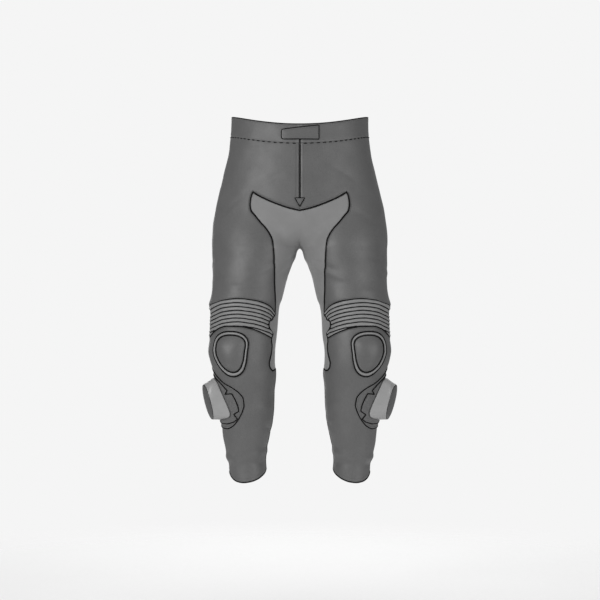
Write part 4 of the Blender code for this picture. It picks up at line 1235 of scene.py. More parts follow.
# %% Cup and ring
CUP_STEP = 4.0
CUP = {"edge": 1.6, "dome": 9.5, "run": 34.0, "power": 0.8, "roll": 1.2, "clear": 0.4}
RING_ROWS = 11
RING_SPAN = (0.12, 0.88)
RING = {"edge": 0.7, "raise": 3.8, "power": 0.55, "clear": 0.3}


def knee_cup():
    """Spots, triangles and heights of the domed cup, cut inside the ring's inner edge."""
    flats, triangles, distance = cut_cloth(evenly(egg(RING_INNER), CUP_STEP), PIPED_SEAM, CUP_STEP)
    inwards = np.clip(distance / CUP["run"], 0, 1)
    dome = CUP["edge"] + CUP["dome"] * np.sin(math.pi / 2 * inwards) ** CUP["power"]
    return to_spots(flats), triangles, dome + roll(distance, CUP["roll"])


def knee_ring():
    """Spots, triangles and heights of the padded ring, which is highest in the middle of its width."""
    low, high = RING_SPAN
    shares = np.linspace(low, high, RING_ROWS)
    spots = np.vstack([to_spots(ring_line(share)) for share in shares])
    crown = np.sin(math.pi * np.clip((shares - low) / (high - low), 0, 1)) ** RING["power"]
    lift = np.repeat(RING["edge"] + RING["raise"] * crown, EGG_POINTS)
    return spots, grid_triangles(RING_ROWS, EGG_POINTS, closed=True)[:, ::-1], lift


def pad(name, side, form, clear, material, node):
    """A padded piece, whose underside lies this far clear of the shin."""
    spots, triangles, lift = form
    thing = shell(name + "_" + side, side, spots, triangles, lift, lift - clear, (material, "flesh"))
    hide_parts(node + "_" + side)
    print("%-26s %4.1f mm thick" % (thing.name, (lift - clear).max()))


for side in SIDES:
    pad("padded_knee_cup", side, knee_cup(), CUP["clear"], "cup_leather", "knee_cup")
    pad("padded_knee_ring", side, knee_ring(), RING["clear"], "rib_leather", "knee_ring")

# %% [markdown]
# ## Holders for the knee sliders
#
# A rounded leather panel is sewn over the shin, and on it lies the loop half of a hook-and-loop
# fastener, cut with notches so that it can bend round the leg. What the slider hides is finished
# in the same way.

# %% Panel and patch
SLIDER_PANEL = (
    (192, -624), (170, -637), (150, -653), (134, -666), (115, -678), (103, -690), (95, -706),
    (94, -722), (97, -736), (103, -752), (112, -768), (123, -780), (140, -787), (165, -785),
    (188, -776), (205, -758), (214, -734), (216, -706), (213, -672), (206, -642),
)
LOOP_PATCH = (
    (190, -642), (168, -650), (150, -660), (139, -670), (127, -684), (134, -695), (117, -692),
    (111, -708), (107, -723), (105, -738), (117, -747), (109, -759), (117, -767), (135, -773),
    (163, -773), (182, -765), (196, -750), (187, -740), (203, -730), (205, -706), (194, -696),
    (204, -682), (200, -658),
)
PANEL = {"lift": 1.8, "wall": 1.3, "roll": 1.0, "step": 4.5}
PATCH = {"lift": 4.0, "wall": 1.8, "roll": 0.9, "step": 4.0}
LAID_EDGE = 0.3
PANEL_OUTLINE_STEP = 4.0
PATCH_OUTLINE_STEP = 3.6


def rounded(table, step):
    """A closed smooth outline through a table's spots, in flat points one step apart."""
    loop = to_flat(np.vstack([table[-3:], table, table[:3]]).astype(float))
    run = run_along(loop)
    at = np.arange(run[3], run[3 + len(table)] - step / 2, step)
    return np.stack([smooth_curve(run, loop[:, k])(at) for k in (0, 1)], 1)


def laid_on(stem, loop, size, materials, node):
    """A piece that lies on the shin, with rolled edges."""
    flats, triangles, distance = cut_cloth(loop, LAID_EDGE, size["step"])
    lift = size["lift"] + roll(distance, size["roll"])
    cloth_pair(stem, to_spots(flats), triangles, lift, size["wall"], materials, node)


panel_loop = rounded(SLIDER_PANEL, PANEL_OUTLINE_STEP)
patch_loop = evenly(to_flat(LOOP_PATCH), PATCH_OUTLINE_STEP)
laid_on("leather_slider_panel", panel_loop, PANEL, ("leather", "flesh"), "slider_panel")
laid_on("loop_patch_cloth", patch_loop, PATCH, ("loops", "tape"), "loop_patch")

# %% [markdown]
# ## Knee sliders
#
# The slider is a cast block whose base fits the patch on the curved shin, and whose walls draw in
# to a flat end turned a little forward and down, as the knee meets the road. Its face is a
# separate domed disc, set in with a thin gap that reads as the dark line of the drawing. The
# gap's floor and a ring laid in it are black, painted shade for the shadow in the gap.

# %% Slider sizes and frame
SEAT_ANGLE = 163.4
SEAT_HEIGHT = -707.5
SEAT_LEAN = math.radians(24)
SEAT_TILT = math.radians(12)
SEAT_SIZE = (72.0, 114.0)
SEAT_POWER = 4.5
SEAT_LIFT = 5.4
FACE_ANGLE = 164.0
FACE_HEIGHT = -709.5
FACE_FORWARD = math.radians(17.5)
FACE_DOWN = math.radians(13.7)
FACE_LEAN = math.radians(14)
FACE_SIZE = (64.0, 94.5)
FACE_POWER = 2.2
SLIDER_TOP = SEAT_LIFT + 27.0
SLIDER_POINTS = 112


def slider_oval(size, scale, power):
    """Offsets across and along the slider for an oval of this size, scale and squareness."""
    turn = np.linspace(0, 2 * math.pi, SLIDER_POINTS, endpoint=False)
    across = np.sign(np.cos(turn)) * np.abs(np.cos(turn)) ** (2 / power)
    along = np.sign(np.sin(turn)) * np.abs(np.sin(turn)) ** (2 / power)
    return across * size[0] / 2 * scale, along * size[1] / 2 * scale


def seat_ring(scale, lift, side):
    """A ring on the seat, which lies lift above one side's shin. Its two axes lean differently."""
    across, along = slider_oval(SEAT_SIZE, scale, SEAT_POWER)
    level = across * math.cos(SEAT_TILT) + along * math.sin(SEAT_LEAN)
    height = SEAT_HEIGHT + along * math.cos(SEAT_LEAN) - across * math.sin(SEAT_TILT)
    spots = np.stack([SEAT_ANGLE + level / girth(height) * 360, height], 1)
    return place(spots, side, lift)[0]


def slider_axes():
    """Where the face's axis meets the shin, the way it looks, and the directions across and along."""
    centre = leg_surface(FACE_ANGLE, FACE_HEIGHT)
    level = math.cos(FACE_DOWN)
    out = np.array([math.cos(FACE_FORWARD) * level, -math.sin(FACE_FORWARD) * level, -math.sin(FACE_DOWN)])
    across = np.cross((math.sin(FACE_LEAN), 0, math.cos(FACE_LEAN)), out)
    across = across / np.linalg.norm(across)
    return centre, out, across, np.cross(out, across)


def face_ring(scale, height, side, power=FACE_POWER):
    """A ring square to the face's axis, this far above or below the block's top."""
    centre, out, across, along = slider_axes()
    a, b = slider_oval(FACE_SIZE, scale, power)
    ring = centre + out * (SLIDER_TOP + height) + a[:, None] * across + b[:, None] * along
    return ring * np.array([SIDES[side], 1.0, 1.0])


# %% Blocks, discs and rings of painted shade
# the scale and height of each ring: above the seat, and then above or below the block's top
SEAT_RINGS = (
    (0.3, 0.0), (0.6, 0.0), (0.85, 0.0), (0.97, 0.0),
    (0.985, 0.5), (0.995, 1.5), (1.0, 3.0),
)
WALL_SHARES = np.linspace(0.12, 0.9, 8)
WALL_END = (1.022, -3.5)
END_RINGS = (
    (1.021, -3.0), (1.0155, -1.6), (1.004, -0.8), (0.993, -0.5),
    (0.984, -0.7), (0.978, -1.4), (0.973, -2.2), (0.55, -2.4),
)
# the bands at the block's end that are coloured black as painted shade in the groove
SHADED_GROOVE_BANDS = 2
DISC_SCALE = 0.944
DISC_RINGS = (
    (0.6, -2.0), (1.0, -2.0), (1.0, 0.2), (0.99, 1.0), (0.965, 1.7),
    (0.9, 2.4), (0.78, 3.2), (0.62, 3.9), (0.42, 4.4), (0.2, 4.7),
)
# a black ring in the groove round the disc: painted shade for the shadow in the gap
SHADE_RING = {"scale": 0.968, "swing": 0.030, "height": -0.4, "radius": 1.2, "sides": 8}


def closed_rings(name, rings, materials, side, second_from=None):
    """A closed solid through rings of equal length, with a point at each end.

    Its faces have the second material from the band with this number to the last end."""
    count, bands = len(rings[0]), len(rings) - 1
    points = np.vstack([*rings, rings[0].mean(0), rings[-1].mean(0)])
    walls = grid_triangles(len(rings), count, closed=True)
    k = np.arange(count)
    following = (k + 1) % count
    end = bands * count
    low_cap = np.stack([k, following, np.full(count, len(points) - 2)], 1)
    high_cap = np.stack([end + following, end + k, np.full(count, len(points) - 1)], 1)
    # the lattice lists one triangle of every cell, and then the other
    band = np.concatenate([np.tile(np.repeat(np.arange(bands), count), 2), 0 * k, 0 * k + bands])
    second = None if second_from is None else band >= second_from
    faces = np.vstack([walls, low_cap, high_cap])[:, ::-1]
    return make_mesh(name, points, facing(faces, side), materials, second)


def slider_block(side):
    """The cast block, from its seat on the shin to the groove round the disc."""
    rings = [seat_ring(scale, SEAT_LIFT + height, side) for scale, height in SEAT_RINGS]
    rim = rings[-1]
    for share in WALL_SHARES:
        power = SEAT_POWER + (FACE_POWER - SEAT_POWER) * share
        blend = share * share * (3 - 2 * share)
        rings.append(rim + (face_ring(*WALL_END, side, power) - rim) * blend)
    rings += [face_ring(scale, height, side) for scale, height in END_RINGS]
    # the last bands, the groove's floor round the disc, are black: painted shade for the shadow in the gap
    groove = len(rings) - 1 - SHADED_GROOVE_BANDS
    block = closed_rings("slider_block_" + side, rings, ("slider", "nylon"), side, groove)
    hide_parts("knee_slider_" + side)


def slider_disc(side):
    """The domed disc in the block's end."""
    rings = [face_ring(DISC_SCALE * scale, height, side) for scale, height in DISC_RINGS]
    disc = closed_rings("slider_disc_" + side, rings, ("slider_face",), side)
    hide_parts("slider_face_" + side)


def slider_shade_ring(side):
    """A black ring in the groove between block and disc, painted shade for the shadow in the gap."""
    turns = np.linspace(0, 2 * math.pi, SHADE_RING["sides"], endpoint=False)
    rings = [face_ring(SHADE_RING["scale"] + SHADE_RING["swing"] * math.cos(turn),
                       SHADE_RING["height"] + SHADE_RING["radius"] * math.sin(turn), side) for turn in turns]
    triangles = tube_triangles(SHADE_RING["sides"], SLIDER_POINTS, closed=True)[:, ::-1]
    shade_ring = make_mesh("slider_shade_ring_" + side, np.vstack(rings), facing(triangles, side), ("nylon",))


for side in SIDES:
    slider_block(side)
    slider_disc(side)
    slider_shade_ring(side)
print("slider faces in mm:", FACE_SIZE, "at", SLIDER_TOP, "above the shins")

# %% [markdown]
# ## Waistband
#
# The band is a double strip of leather, so it stands a little fuller than the panels and has a
# folded top edge. It dips at the centre front, where the zip ends between its two ends.

# %% Waistband
BAND_WALL = 2.2
BAND_LIFT = 0.5
BAND_TOP_ROLL = {"depth": 1.5, "width": 1.4}
BAND_SEAM_ROLL = {"depth": 1.1, "width": 1.6}
BAND_OPENS = {"below": -16.0, "over": 8.0}
BAND_CLOSED_GAP = 0.2
BAND_COLUMNS = 104
BAND_ROWS = 15
ROW_SPREAD = 0.55


def band_profile(share):
    """Height of the band over the base surface, from its top edge at 0 to its seam at 1."""
    from_top, from_seam = share * BAND_HEIGHT, (1 - share) * BAND_HEIGHT
    top_roll = BAND_TOP_ROLL["depth"] * np.exp(-from_top / BAND_TOP_ROLL["width"])
    seam_roll = BAND_SEAM_ROLL["depth"] * np.exp(-from_seam / BAND_SEAM_ROLL["width"])
    return BAND_LIFT - top_roll - seam_roll


def band_shares():
    """Rows of the band, closer together at its edges."""
    even = np.linspace(-1, 1, BAND_ROWS)
    return (np.sign(even) * np.abs(even) ** ROW_SPREAD + 1) / 2


def band_start(height):
    """The angle where the band ends at the fly: closed above the tab, and open for the zip below."""
    opened = np.clip((BAND_OPENS["below"] - height) / BAND_OPENS["over"], 0, 1)
    across = BAND_CLOSED_GAP + (ZIP_SLOT / 2 - BAND_CLOSED_GAP / 2) * opened
    return np.degrees(2 * np.arcsin(across / SECTION["outer"](height)))


def band_spots():
    """Spots of half the band: rows go down, and columns run from the fly to the centre back."""
    spots = []
    for share in band_shares():
        start = float(band_start(waist_top(0) * (1 - share) + band_seam(0) * share))
        angles = start + (360 - start) * np.linspace(0, 1, BAND_COLUMNS)
        high, low = waist_top(angles), band_seam(angles) + PLAIN_SEAM
        spots.append(np.stack([angles, high + (low - high) * share], 1))
    return np.vstack(spots)


def waistband():
    """The whole band: its left half up to the centre back, and its right half on from there."""
    spots = band_spots()
    lift = np.repeat(band_profile(band_shares()), BAND_COLUMNS)
    grid = (BAND_ROWS, BAND_COLUMNS, 3)
    left, left_out = (part.reshape(grid) for part in place(spots, "left", lift))
    right, right_out = (part.reshape(grid)[:, -2::-1] for part in place(spots, "right", lift))
    outer = np.concatenate([left, right], 1).reshape(-1, 3)
    out = np.concatenate([left_out, right_out], 1).reshape(-1, 3)
    triangles = grid_triangles(BAND_ROWS, 2 * BAND_COLUMNS - 1)
    points, faces, flags = shell_arrays(outer, outer - out * BAND_WALL, triangles)
    band = make_mesh("waist_band_cloth", points, faces, ("leather", "flesh"), flags)
    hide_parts("waistband")
    half_area = cut_area(spots, grid_triangles(BAND_ROWS, BAND_COLUMNS))
    declare_sheet(band, [2 * flat_box(to_flat(spots))[0], BAND_HEIGHT * MM], 2 * half_area)


waistband()

# %% [markdown]
# ## Waist tab, fly and zip
#
# A hook-and-loop tab closes the waist over the zip. It is narrower at its free end and has two
# small cut corners. The zip below it is closed, so only its coil shows in the slot, and a
# triangle of leather is sewn over its lower end.

# %% Pieces cut flat across the centre front
TAB_OUTLINE = ((-47, -12), (-43.5, -8.6), (49, 1.7), (49, -34.4), (-43.5, -34.4), (-47, -31))
TAB = {"lift": 3.4, "wall": 2.4, "roll": 1.4}
FLY_PATCH_OUTLINE = ((-12.5, -186.5), (12.5, -186.5), (0, -208.5))
FLY_PATCH = {"lift": 2.0, "wall": 1.3, "roll": 0.9}
FRONT_OUTLINE_STEP = 2.5
FRONT_STEP = 3.5


def front_spots(flats):
    """Spots for distances from the centre plane and heights; the wearer's right is negative."""
    flats = np.asarray(flats, float)
    turn = np.degrees(2 * np.arcsin(flats[:, 0] / SECTION["outer"](flats[:, 1])))
    return np.stack([turn, flats[:, 1]], 1)


def front_piece(name, corners, node, size):
    """A leather piece across the centre front, with rolled edges."""
    loop = evenly(np.array(corners, float), FRONT_OUTLINE_STEP)
    flats, triangles, distance = cut_cloth(loop, LAID_EDGE, FRONT_STEP)
    spots = front_spots(flats)
    lift = size["lift"] + roll(distance, size["roll"])
    thing = shell(name, "left", spots, triangles, lift, size["wall"], ("leather", "flesh"))
    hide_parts(node)
    declare_sheet(thing, flat_box(flats), cut_area(spots, triangles))
    return loop


tab_loop = front_piece("waist_tab_cloth", TAB_OUTLINE, "waist_tab", TAB)
fly_patch_loop = front_piece("fly_patch_cloth", FLY_PATCH_OUTLINE, "fly_patch", FLY_PATCH)

# %% Zip tape and coil
ZIP_TOP = -22.0
TAPE = {"half_width": 11.0, "lift": -2.6, "wall": 0.6, "above_end": 3.0, "step": 5.0, "columns": 7}
COIL_PITCH = 2.8
COIL_LIFT = -0.35
COIL_OFFSET = 0.85
COIL_TURN = {"length": 2.9, "thick": 1.25, "deep": 1.3}
COIL_ENDS = {"above_end": 5.0, "below_top": 2.0}
COIL_BEVEL = 0.3


def zip_tape():
    """The woven tape behind the slot."""
    heights = np.arange(FLY_END + TAPE["above_end"], ZIP_TOP, TAPE["step"])
    across = np.linspace(-TAPE["half_width"], TAPE["half_width"], TAPE["columns"])
    flats = np.array([(x, h) for h in heights[::-1] for x in across])
    triangles = grid_triangles(len(heights), len(across))
    tape = shell("zip_tape_cloth", "left", front_spots(flats), triangles, TAPE["lift"], TAPE["wall"],
                 ("tape", "tape"))
    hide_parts("fly_zip")
    size = flat_box(flats)
    declare_sheet(tape, size, size[0] * size[1])


def zip_coil():
    """Two rows of interlocked turns that fill the slot."""
    box = np.array([(x, y, z) for x in (-0.5, 0.5) for y in (-0.5, 0.5) for z in (-0.5, 0.5)])
    quads = np.array([(0, 1, 3, 2), (4, 6, 7, 5), (0, 4, 5, 1), (2, 3, 7, 6), (0, 2, 6, 4), (1, 5, 7, 3)])
    triangles = np.vstack([quads[:, [0, 1, 2]], quads[:, [0, 2, 3]]])
    first, last = FLY_END + COIL_ENDS["above_end"], ZIP_TOP - COIL_ENDS["below_top"]
    parts = []
    for k, height in enumerate(np.arange(first, last, COIL_PITCH / 2)):
        across = COIL_OFFSET if k % 2 else -COIL_OFFSET
        centre, out = place(front_spots([(across, height)]), "left", COIL_LIFT)
        level = np.cross((0, 0, 1.0), out[0])
        up = np.cross(out[0], level)
        turn = (box[:, :1] * COIL_TURN["length"] * level + box[:, 1:2] * COIL_TURN["deep"] * out[0]
                + box[:, 2:] * COIL_TURN["thick"] * up)
        parts.append((centre[0] + turn, triangles))
    coil = make_mesh("zip_coil", *joined(parts), ("nylon",))
    bevel = coil.modifiers.new("soft edges", "BEVEL")
    bevel.width = COIL_BEVEL * MM
    bevel.segments = 2
    print("zip turns:", len(parts))


zip_tape()
zip_coil()
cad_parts["zip_slider"].data.materials.clear()
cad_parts["zip_slider"].data.materials.append(MATERIALS["nylon"])

# %% [markdown]
# ## Piping and bound edges
#
# Every seam of the drawing is a firm dark line. On the real trousers that is black piping, a thin
# cord in matte cotton caught between two panels, and on the pieces laid on top an edge bound with
# the same cloth. A bead is a soft tube that follows a line on the cloth.

# %% Beads
BEAD_SIDES = 8
EVENING_ROUNDS = 12


def rings_round(centres, aside, out, radius, sides):
    """A ring of points round each centre, square to the line that they follow."""
    turn = np.linspace(0, 2 * math.pi, sides, endpoint=False)
    ring = aside[:, None] * np.cos(turn)[None, :, None] + out[:, None] * np.sin(turn)[None, :, None]
    return centres[:, None] + ring * radius


def bead(points, normals, radius, closed):
    """Points and triangles of a tube along a line of points on the cloth."""
    ahead = np.roll(points, -1, 0) - np.roll(points, 1, 0)
    if not closed:
        ahead[0], ahead[-1] = points[1] - points[0], points[-1] - points[-2]
    ahead = ahead / np.linalg.norm(ahead, axis=1, keepdims=True)
    aside = np.cross(ahead, normals)
    aside = aside / np.linalg.norm(aside, axis=1, keepdims=True)
    tube = rings_round(points, aside, normals, radius, BEAD_SIDES).reshape(-1, 3)
    return tube, tube_triangles(len(points), BEAD_SIDES, closed)


def even_out(line, spots):
    """Evens out a line of points where the flat pattern bends sharply."""
    near = at_bend(spots)[1:-1, None]
    for _ in range(EVENING_ROUNDS):
        middle = (line[:-2] + 2 * line[1:-1] + line[2:]) / 4
        line[1:-1] = np.where(near, middle, line[1:-1])
    return line


def beads(name, lines, material, sides=("left", "right")):
    """Beads along lines of (spots, lift, radius, closed), one mesh for each side."""
    for side in sides:
        parts = []
        for spots, lift, radius, closed in lines:
            line, out = place(spots, side, lift)
            tube, triangles = bead(even_out(line, spots), out, radius, closed)
            parts.append((tube, facing(triangles, side)))
        label = name + "_" + side if len(sides) > 1 else name
        make_mesh(label, *joined(parts), (material,))
    print("%-26s %d lines" % (name, len(lines)))


# %% Piping in the seams
PIPE = {"lift": -1.2, "radius": 2.0}
PIPED = ("gusset_top", "gusset_upper", "rib_inner", "gusset_lower", "rib_top", "rib_bottom", "side_upper",
         "side_lower", "rib_outer", "knee_back", "gusset_back_upper", "gusset_back_lower", "inseam_lower")
BOUND_STEP = 4.0
RING_LINES = {"outer": -0.08, "inner": 1.0}
# outline, lift and radius of each bound edge
BOUND = (
    (evenly(ring_line(RING_LINES["outer"]), BOUND_STEP), 1.9, 1.75),
    (evenly(ring_line(RING_LINES["inner"]), BOUND_STEP), 1.6, 1.7),
    (panel_loop, PANEL["lift"] - 1.0, 1.55),
    (patch_loop, PATCH["lift"] - 1.0, 1.5),
)
HEM_BOUND = {"rise": 1.4, "lift": -0.9, "radius": 2.0}
WAIST_BOUND = {"drop": 0.6, "lift": -0.9, "radius": 1.6, "points": 160}
TAB_BOUND = {"sink": 1.4, "radius": 1.4}
FLY_PATCH_BOUND = {"sink": 0.8, "radius": 1.2}
RIB_CORD = {"lift": -0.6, "radius": 2.15}


def open_lines(lines, size):
    """Lines of spots, as lines for beads of one lift and radius."""
    return [(line, size["lift"], size["radius"], False) for line in lines]


def seam_lines(names, size):
    """The named seams, as lines for beads of one lift and radius."""
    return open_lines([SEAMS[name] for name in names], size)


def hem_line():
    """The bound edge of a hem, all the way round."""
    spots = np.vstack([SEAMS["hem_front"], SEAMS["hem_back"][1:-1]]) + (0, HEM_BOUND["rise"])
    return fine(spots), HEM_BOUND["lift"], HEM_BOUND["radius"], True


def waist_line():
    """The bound top edge of the waistband on one side."""
    angles = np.linspace(0, 360, WAIST_BOUND["points"])
    return np.stack([angles, waist_top(angles) - WAIST_BOUND["drop"]], 1)


bound_lines = [(to_spots(loop), lift, radius, True) for loop, lift, radius in BOUND]
beads("black_piping", seam_lines(PIPED, PIPE) + bound_lines + [hem_line()], "piping")
beads("centre_piping", seam_lines(["centre_back"], PIPE), "piping", ("left",))
beads("waist_edge", open_lines([waist_line()], WAIST_BOUND), "piping")
front_lines = [(front_spots(loop), piece["lift"] - bound["sink"], bound["radius"], True)
               for loop, piece, bound in ((tab_loop, TAB, TAB_BOUND),
                                          (fly_patch_loop, FLY_PATCH, FLY_PATCH_BOUND))]
beads("front_binding", front_lines, "piping", ("left",))
beads("rib_cords", open_lines(rib_lines(), RIB_CORD), "piping")

# %% [markdown]
# ## Seam allowances
#
# Behind each seam the two edges are turned in and taped. The tape closes the seam against wind and
# rain, and it is what the eye meets inside the waist. It lies just under the rolled edges.

# %% Tape behind the seams
SEAM_TAPE = {"offsets": (-7.0, -3.0, 3.0, 7.0), "lift": -3.4, "wall": 0.5}
UNTAPED = ("hem_front", "hem_back", "fly", "crotch_front", "crotch_back")
SEAM_FILL = {"lift": -1.1, "radius": 0.9}


def beside(seam, offset):
    """Flat points of a line beside a seam; a positive offset lies to the left along it."""
    flats = to_flat(seam)
    step = np.gradient(flats, axis=0)
    step = step / np.maximum(np.hypot(step[:, 0], step[:, 1]), 1e-9)[:, None]
    return flats + np.stack([-step[:, 1], step[:, 0]], 1) * offset


def seam_tapes(names):
    """A strip of tape behind each named seam, one mesh for each side."""
    for side in SIDES:
        parts = []
        for name in names:
            rails = [to_spots(beside(SEAMS[name], offset)) for offset in SEAM_TAPE["offsets"]]
            outer, out = place(np.stack(rails, 1).reshape(-1, 2), side, SEAM_TAPE["lift"])
            triangles = facing(grid_triangles(len(SEAMS[name]), len(rails)), side)
            parts.append(shell_arrays(outer, outer - out * SEAM_TAPE["wall"], triangles)[:2])
        make_mesh("seam_tape_" + side, *joined(parts), ("seam_tape",))
    print("taped seams:", len(names))


seam_tapes([name for name in SEAMS if name not in UNTAPED])
# a plain seam shows only a fine groove, filled by the turned edges
beads("leather_seam", seam_lines(["band_front", "band_back"], SEAM_FILL), "leather")
beads("centre_seam", seam_lines(["centre_front"], SEAM_FILL), "leather", ("left",))
beads("twill_seam", seam_lines(["inseam_upper"], SEAM_FILL), "twill")

# %% [markdown]
# ## Stitching
#
# Seams are topstitched with rows of short lockstitches, 3.8 mm apart, that sink into the leather
# at both ends. Under the waistband run the long dashes of the drawing: a heavy decorative thread,
# 8 mm on and 6 mm off. A stitch is a small capsule, and a row is one long array of them.

# %% Stitches
STITCH = {"pitch": 3.8, "length": 2.7, "radius": 0.36}
DASH = {"pitch": 14.2, "length": 8.2, "radius": 1.3}
# the share of the length, the thickness and the height of each ring of a stitch
STITCH_RINGS = (
    (0.0, 0.35, -0.9),
    (0.1, 0.85, -0.1),
    (0.5, 1.0, 0.45),
    (0.9, 0.85, -0.1),
    (1.0, 0.35, -0.9),
)
STITCH_SIDES = 6
FIRST_STITCH = 0.3
BEND_WITHOUT_STITCHES = FLAT_BEND["height"] / 3


def points_at(flats, distances):
    """Flat points at these distances along a line."""
    run = run_along(flats)
    return np.stack([np.interp(distances, run, flats[:, k]) for k in (0, 1)], 1)


def stitch_row(flats, kind, lift, side, spots_of=to_spots):
    """Points and triangles of one row of stitches along a flat line."""
    starts = np.arange(kind["pitch"] * FIRST_STITCH, run_along(flats)[-1] - kind["length"], kind["pitch"])
    # no stitch where the flat pattern bends sharply
    starts = starts[np.abs(points_at(flats, starts)[:, 1] - CROTCH) > BEND_WITHOUT_STITCHES]
    begin, out = place(spots_of(points_at(flats, starts)), side, lift)
    end = place(spots_of(points_at(flats, starts + kind["length"])), side, lift)[0]
    aside = np.cross(end - begin, out)
    aside = aside / np.linalg.norm(aside, axis=1, keepdims=True)
    rings = []
    for share, thickness, height in STITCH_RINGS:
        centres = begin + (end - begin) * share + out * height * kind["radius"]
        rings.append(rings_round(centres, aside, out, thickness * kind["radius"], STITCH_SIDES))
    points = np.stack(rings, 1).reshape(-1, 3)
    one = tube_triangles(len(STITCH_RINGS), STITCH_SIDES)
    size = len(STITCH_RINGS) * STITCH_SIDES
    faces = (one[None] + np.arange(len(starts))[:, None, None] * size).reshape(-1, 3)
    return points, faces


def stitching(name, rows, kind, material, sides=("left", "right"), spots_of=to_spots):
    """Rows of (flat line, lift) on each side, as one mesh for each."""
    for side in sides:
        parts = []
        for flats, lift in rows:
            points, triangles = stitch_row(flats, kind, lift, side, spots_of)
            parts.append((points, facing(triangles, side)))
        label = name + "_" + side if len(sides) > 1 else name
        points, triangles = joined(parts)
        make_mesh(label, points, triangles, (material,))
        print("%-26s %5d stitches" % (label, len(points) // (len(STITCH_RINGS) * STITCH_SIDES)))


def closed_row(loop, offset):
    """A closed line inside a loop, as one open run that ends where it began."""
    row = inward(loop, offset)
    return np.vstack([row, row[:1]])


# %% Rows of stitches
SEAM_ROW = 4.8
HEM_ROW = 11.0
FLY_ROW = 6.3
TAB_ROW = 4.4
FLY_PATCH_ROW = 3.4
ROW_POINTS = 160
# a seam, the sides that have a row beside it, and how many spots the row leaves out at its end
TOPSTITCHED = (
    ("gusset_top", (1,), 0),
    ("gusset_upper", (1,), 0),
    ("gusset_lower", (1,), 4),
    ("side_upper", (1, -1), 0),
    ("side_lower", (1, -1), 0),
    ("knee_back", (1, -1), 0),
    ("gusset_back_upper", (1,), 0),
    ("gusset_back_lower", (1,), 4),
    ("centre_back", (-1,), 1),
)
BAND_DASHES = {"below": 1.9, "end": 358.0, "lift": -0.3}
BAND_STITCHES = {"below": 4.5, "end": 359.4, "lift": 0.45}
BESIDE_FLY = 1.2


def seam_rows():
    """Every row of fine stitches on the panels of one side."""
    rows = []
    for name, sides, left_out in TOPSTITCHED:
        seam = SEAMS[name][:len(SEAMS[name]) - left_out]
        rows += [(beside(seam, SEAM_ROW * hand), 0.0) for hand in sides]
    rows.append((beside(RIBS[0, 2:-2], SEAM_ROW), 0.0))
    rows.append((beside(RIBS[-1, 2:-2], -SEAM_ROW), 0.0))
    rows += [(to_flat(SEAMS[name] + (0, HEM_ROW)), 0.0) for name in ("hem_front", "hem_back")]
    rows.append((beside(SEAMS["fly"][1:], FLY_ROW), 0.0))
    rows.append((closed_row(panel_loop, SEAM_ROW), PANEL["lift"]))
    return rows


def band_row(height_at, size):
    """A row round the waistband, below its top edge or its seam."""
    angles = np.linspace(FLY_START + BESIDE_FLY, size["end"], ROW_POINTS)
    return to_flat(np.stack([angles, height_at(angles) - size["below"]], 1)), size["lift"]


stitching("seam_stitches", seam_rows(), STITCH, "grey_thread")
stitching("band_dashes", [band_row(band_seam, BAND_DASHES)], DASH, "dark_thread")
stitching("band_stitches", [band_row(waist_top, BAND_STITCHES)], STITCH, "grey_thread")
front_rows = [(closed_row(tab_loop, TAB_ROW), TAB["lift"]),
              (closed_row(fly_patch_loop, FLY_PATCH_ROW), FLY_PATCH["lift"])]
stitching("tab_stitches", front_rows, STITCH, "grey_thread", ("left",), front_spots)

# %% [markdown]
# ## Light, floor and camera
#
# The drawing is seen straight from the front on near-white paper, so the camera stands level with
# the middle of the trousers, 4.5 m away, and the light is a pale sky with large soft panels. The
# floor lies under the hems and fades into the background at its rim.

# %% Floor
FLOOR_HEIGHT = -1.30
FLOOR_RADIUS = 3.0
FLOOR_FADE = (0.8, 2.1)
FLOOR_POINTS = 64
FLOOR_GRAIN = 60.0


def make_floor():
    """A round pale floor whose rim fades out."""
    material, shader, position = new_material("pale painted floor", "#e1e1e1", Roughness=0.9, IOR=1.45)
    distance = add_node(material, "ShaderNodeVectorMath", {0: position}, operation="LENGTH").outputs["Value"]
    alpha = remap(material, distance, *FLOOR_FADE, 1.0, 0.0, interpolation_type="SMOOTHSTEP")
    grain = add_node(material, "ShaderNodeTexNoise", {"Vector": position, "Scale": FLOOR_GRAIN})
    colour = mix_colours(material, grain.outputs["Fac"], "#dfdfdf", "#e3e3e3")
    material.node_tree.links.new(alpha, shader.inputs["Alpha"])
    material.node_tree.links.new(colour, shader.inputs["Base Color"])
    mesh = bpy.data.meshes.new("floor")
    turn = np.linspace(0, 2 * math.pi, FLOOR_POINTS, endpoint=False)
    rim = np.stack([np.cos(turn), np.sin(turn), 0 * turn], 1) * FLOOR_RADIUS
    mesh.from_pydata(rim.tolist(), [], [list(range(FLOOR_POINTS))])
    mesh.materials.append(material)
    floor = bpy.data.objects.new("floor", mesh)
    floor.location.z = FLOOR_HEIGHT
    bpy.context.scene.collection.objects.link(floor)


make_floor()

# %% Lights
LIGHT_COLUMNS = ("name", "place", "aim", "size", "watts")
LIGHTS = (
    ("key", (-2.5, -2.9, 0.15), (0.0, 0.0, -0.5), 1.3, 93.0),
    ("fill", (2.9, -2.6, -0.5), (0.0, 0.0, -0.5), 2.2, 62.0),
    ("top", (0.0, -0.2, 2.4), (0.0, 0.0, -0.4), 1.6, 22.0),
    ("back_key", (0.7, 2.9, 2.1), (0.0, 0.0, -0.5), 1.2, 108.0),
    ("back_fill", (-0.6, 3.4, -0.4), (0.0, 0.0, -0.5), 2.0, 24.0),
)


def aim_at(thing, target):
    """Turns a lamp to look at a point."""
    direction = Vector(target) - thing.location
    thing.rotation_euler = direction.to_track_quat("-Z", "Y").to_euler()


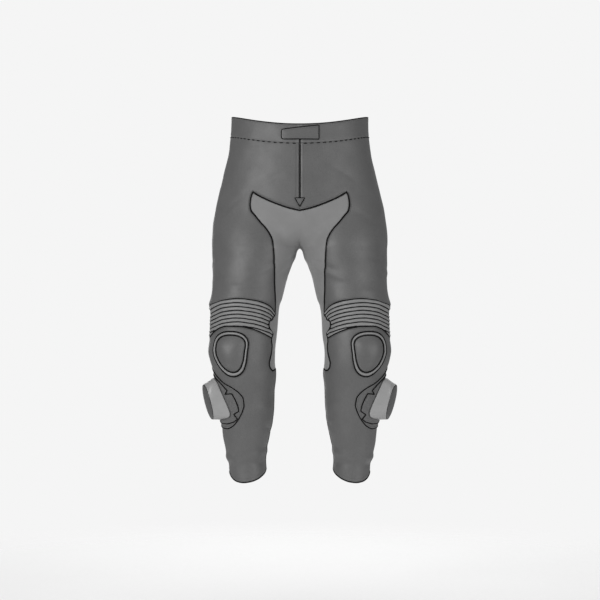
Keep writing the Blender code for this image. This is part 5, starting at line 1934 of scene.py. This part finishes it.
def add_light(name, place, aim, size, watts):
    """A round soft panel of light."""
    data = bpy.data.lights.new(name, "AREA")
    data.energy = watts
    data.shape = "DISK"
    data.size = size
    lamp = bpy.data.objects.new(name, data)
    lamp.location = place
    aim_at(lamp, aim)
    bpy.context.scene.collection.objects.link(lamp)


for row in LIGHTS:
    add_light(**dict(zip(LIGHT_COLUMNS, row)))
print("lights:", len(LIGHTS))

# %% Background
PAPER = "#f5f5f5"
SKY_STRENGTH = 0.32

# the camera sees plain paper, and the trousers are lit by a dimmer sky
world = bpy.data.worlds.new("studio")
world.use_nodes = True
bpy.context.scene.world = world
sky = world.node_tree.nodes["Background"]
sky.inputs["Color"].default_value = linear(PAPER)
sky.inputs["Strength"].default_value = SKY_STRENGTH
backdrop = add_node(world, "ShaderNodeBackground", {"Color": linear(PAPER), "Strength": 1.0})
ray = add_node(world, "ShaderNodeLightPath").outputs["Is Camera Ray"]
chosen = add_node(world, "ShaderNodeMixShader", {0: ray, 1: sky.outputs[0], 2: backdrop.outputs[0]})
world.node_tree.links.new(chosen.outputs[0], world.node_tree.nodes["World Output"].inputs["Surface"])
bpy.context.scene.view_settings.view_transform = "Standard"

# %% Camera
VIEW_DISTANCE = 4.5
VIEW_HEIGHT = -0.45
VIEW_WIDTH = 1.59
SENSOR = 36.0
# the drawing's centre line stands a quarter of a pixel left of the middle
VIEW_SHIFT = 0.25 / 600

camera_data = bpy.data.cameras.new("front_view")
camera_data.sensor_width = SENSOR
camera_data.lens = SENSOR * VIEW_DISTANCE / VIEW_WIDTH
camera_data.shift_x = VIEW_SHIFT
camera = bpy.data.objects.new("front_view", camera_data)
camera.location = (0, -VIEW_DISTANCE, VIEW_HEIGHT)
camera.rotation_euler = (math.pi / 2, 0, 0)
bpy.context.scene.collection.objects.link(camera)
bpy.context.scene.camera = camera
print("view in metres:", VIEW_WIDTH, "wide from", VIEW_DISTANCE, "away")

# %% Finish
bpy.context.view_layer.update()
count = sum(len(piece.data.polygons) for piece in PIECES.values())
print("pieces:", len(PIECES), "faces:", count)
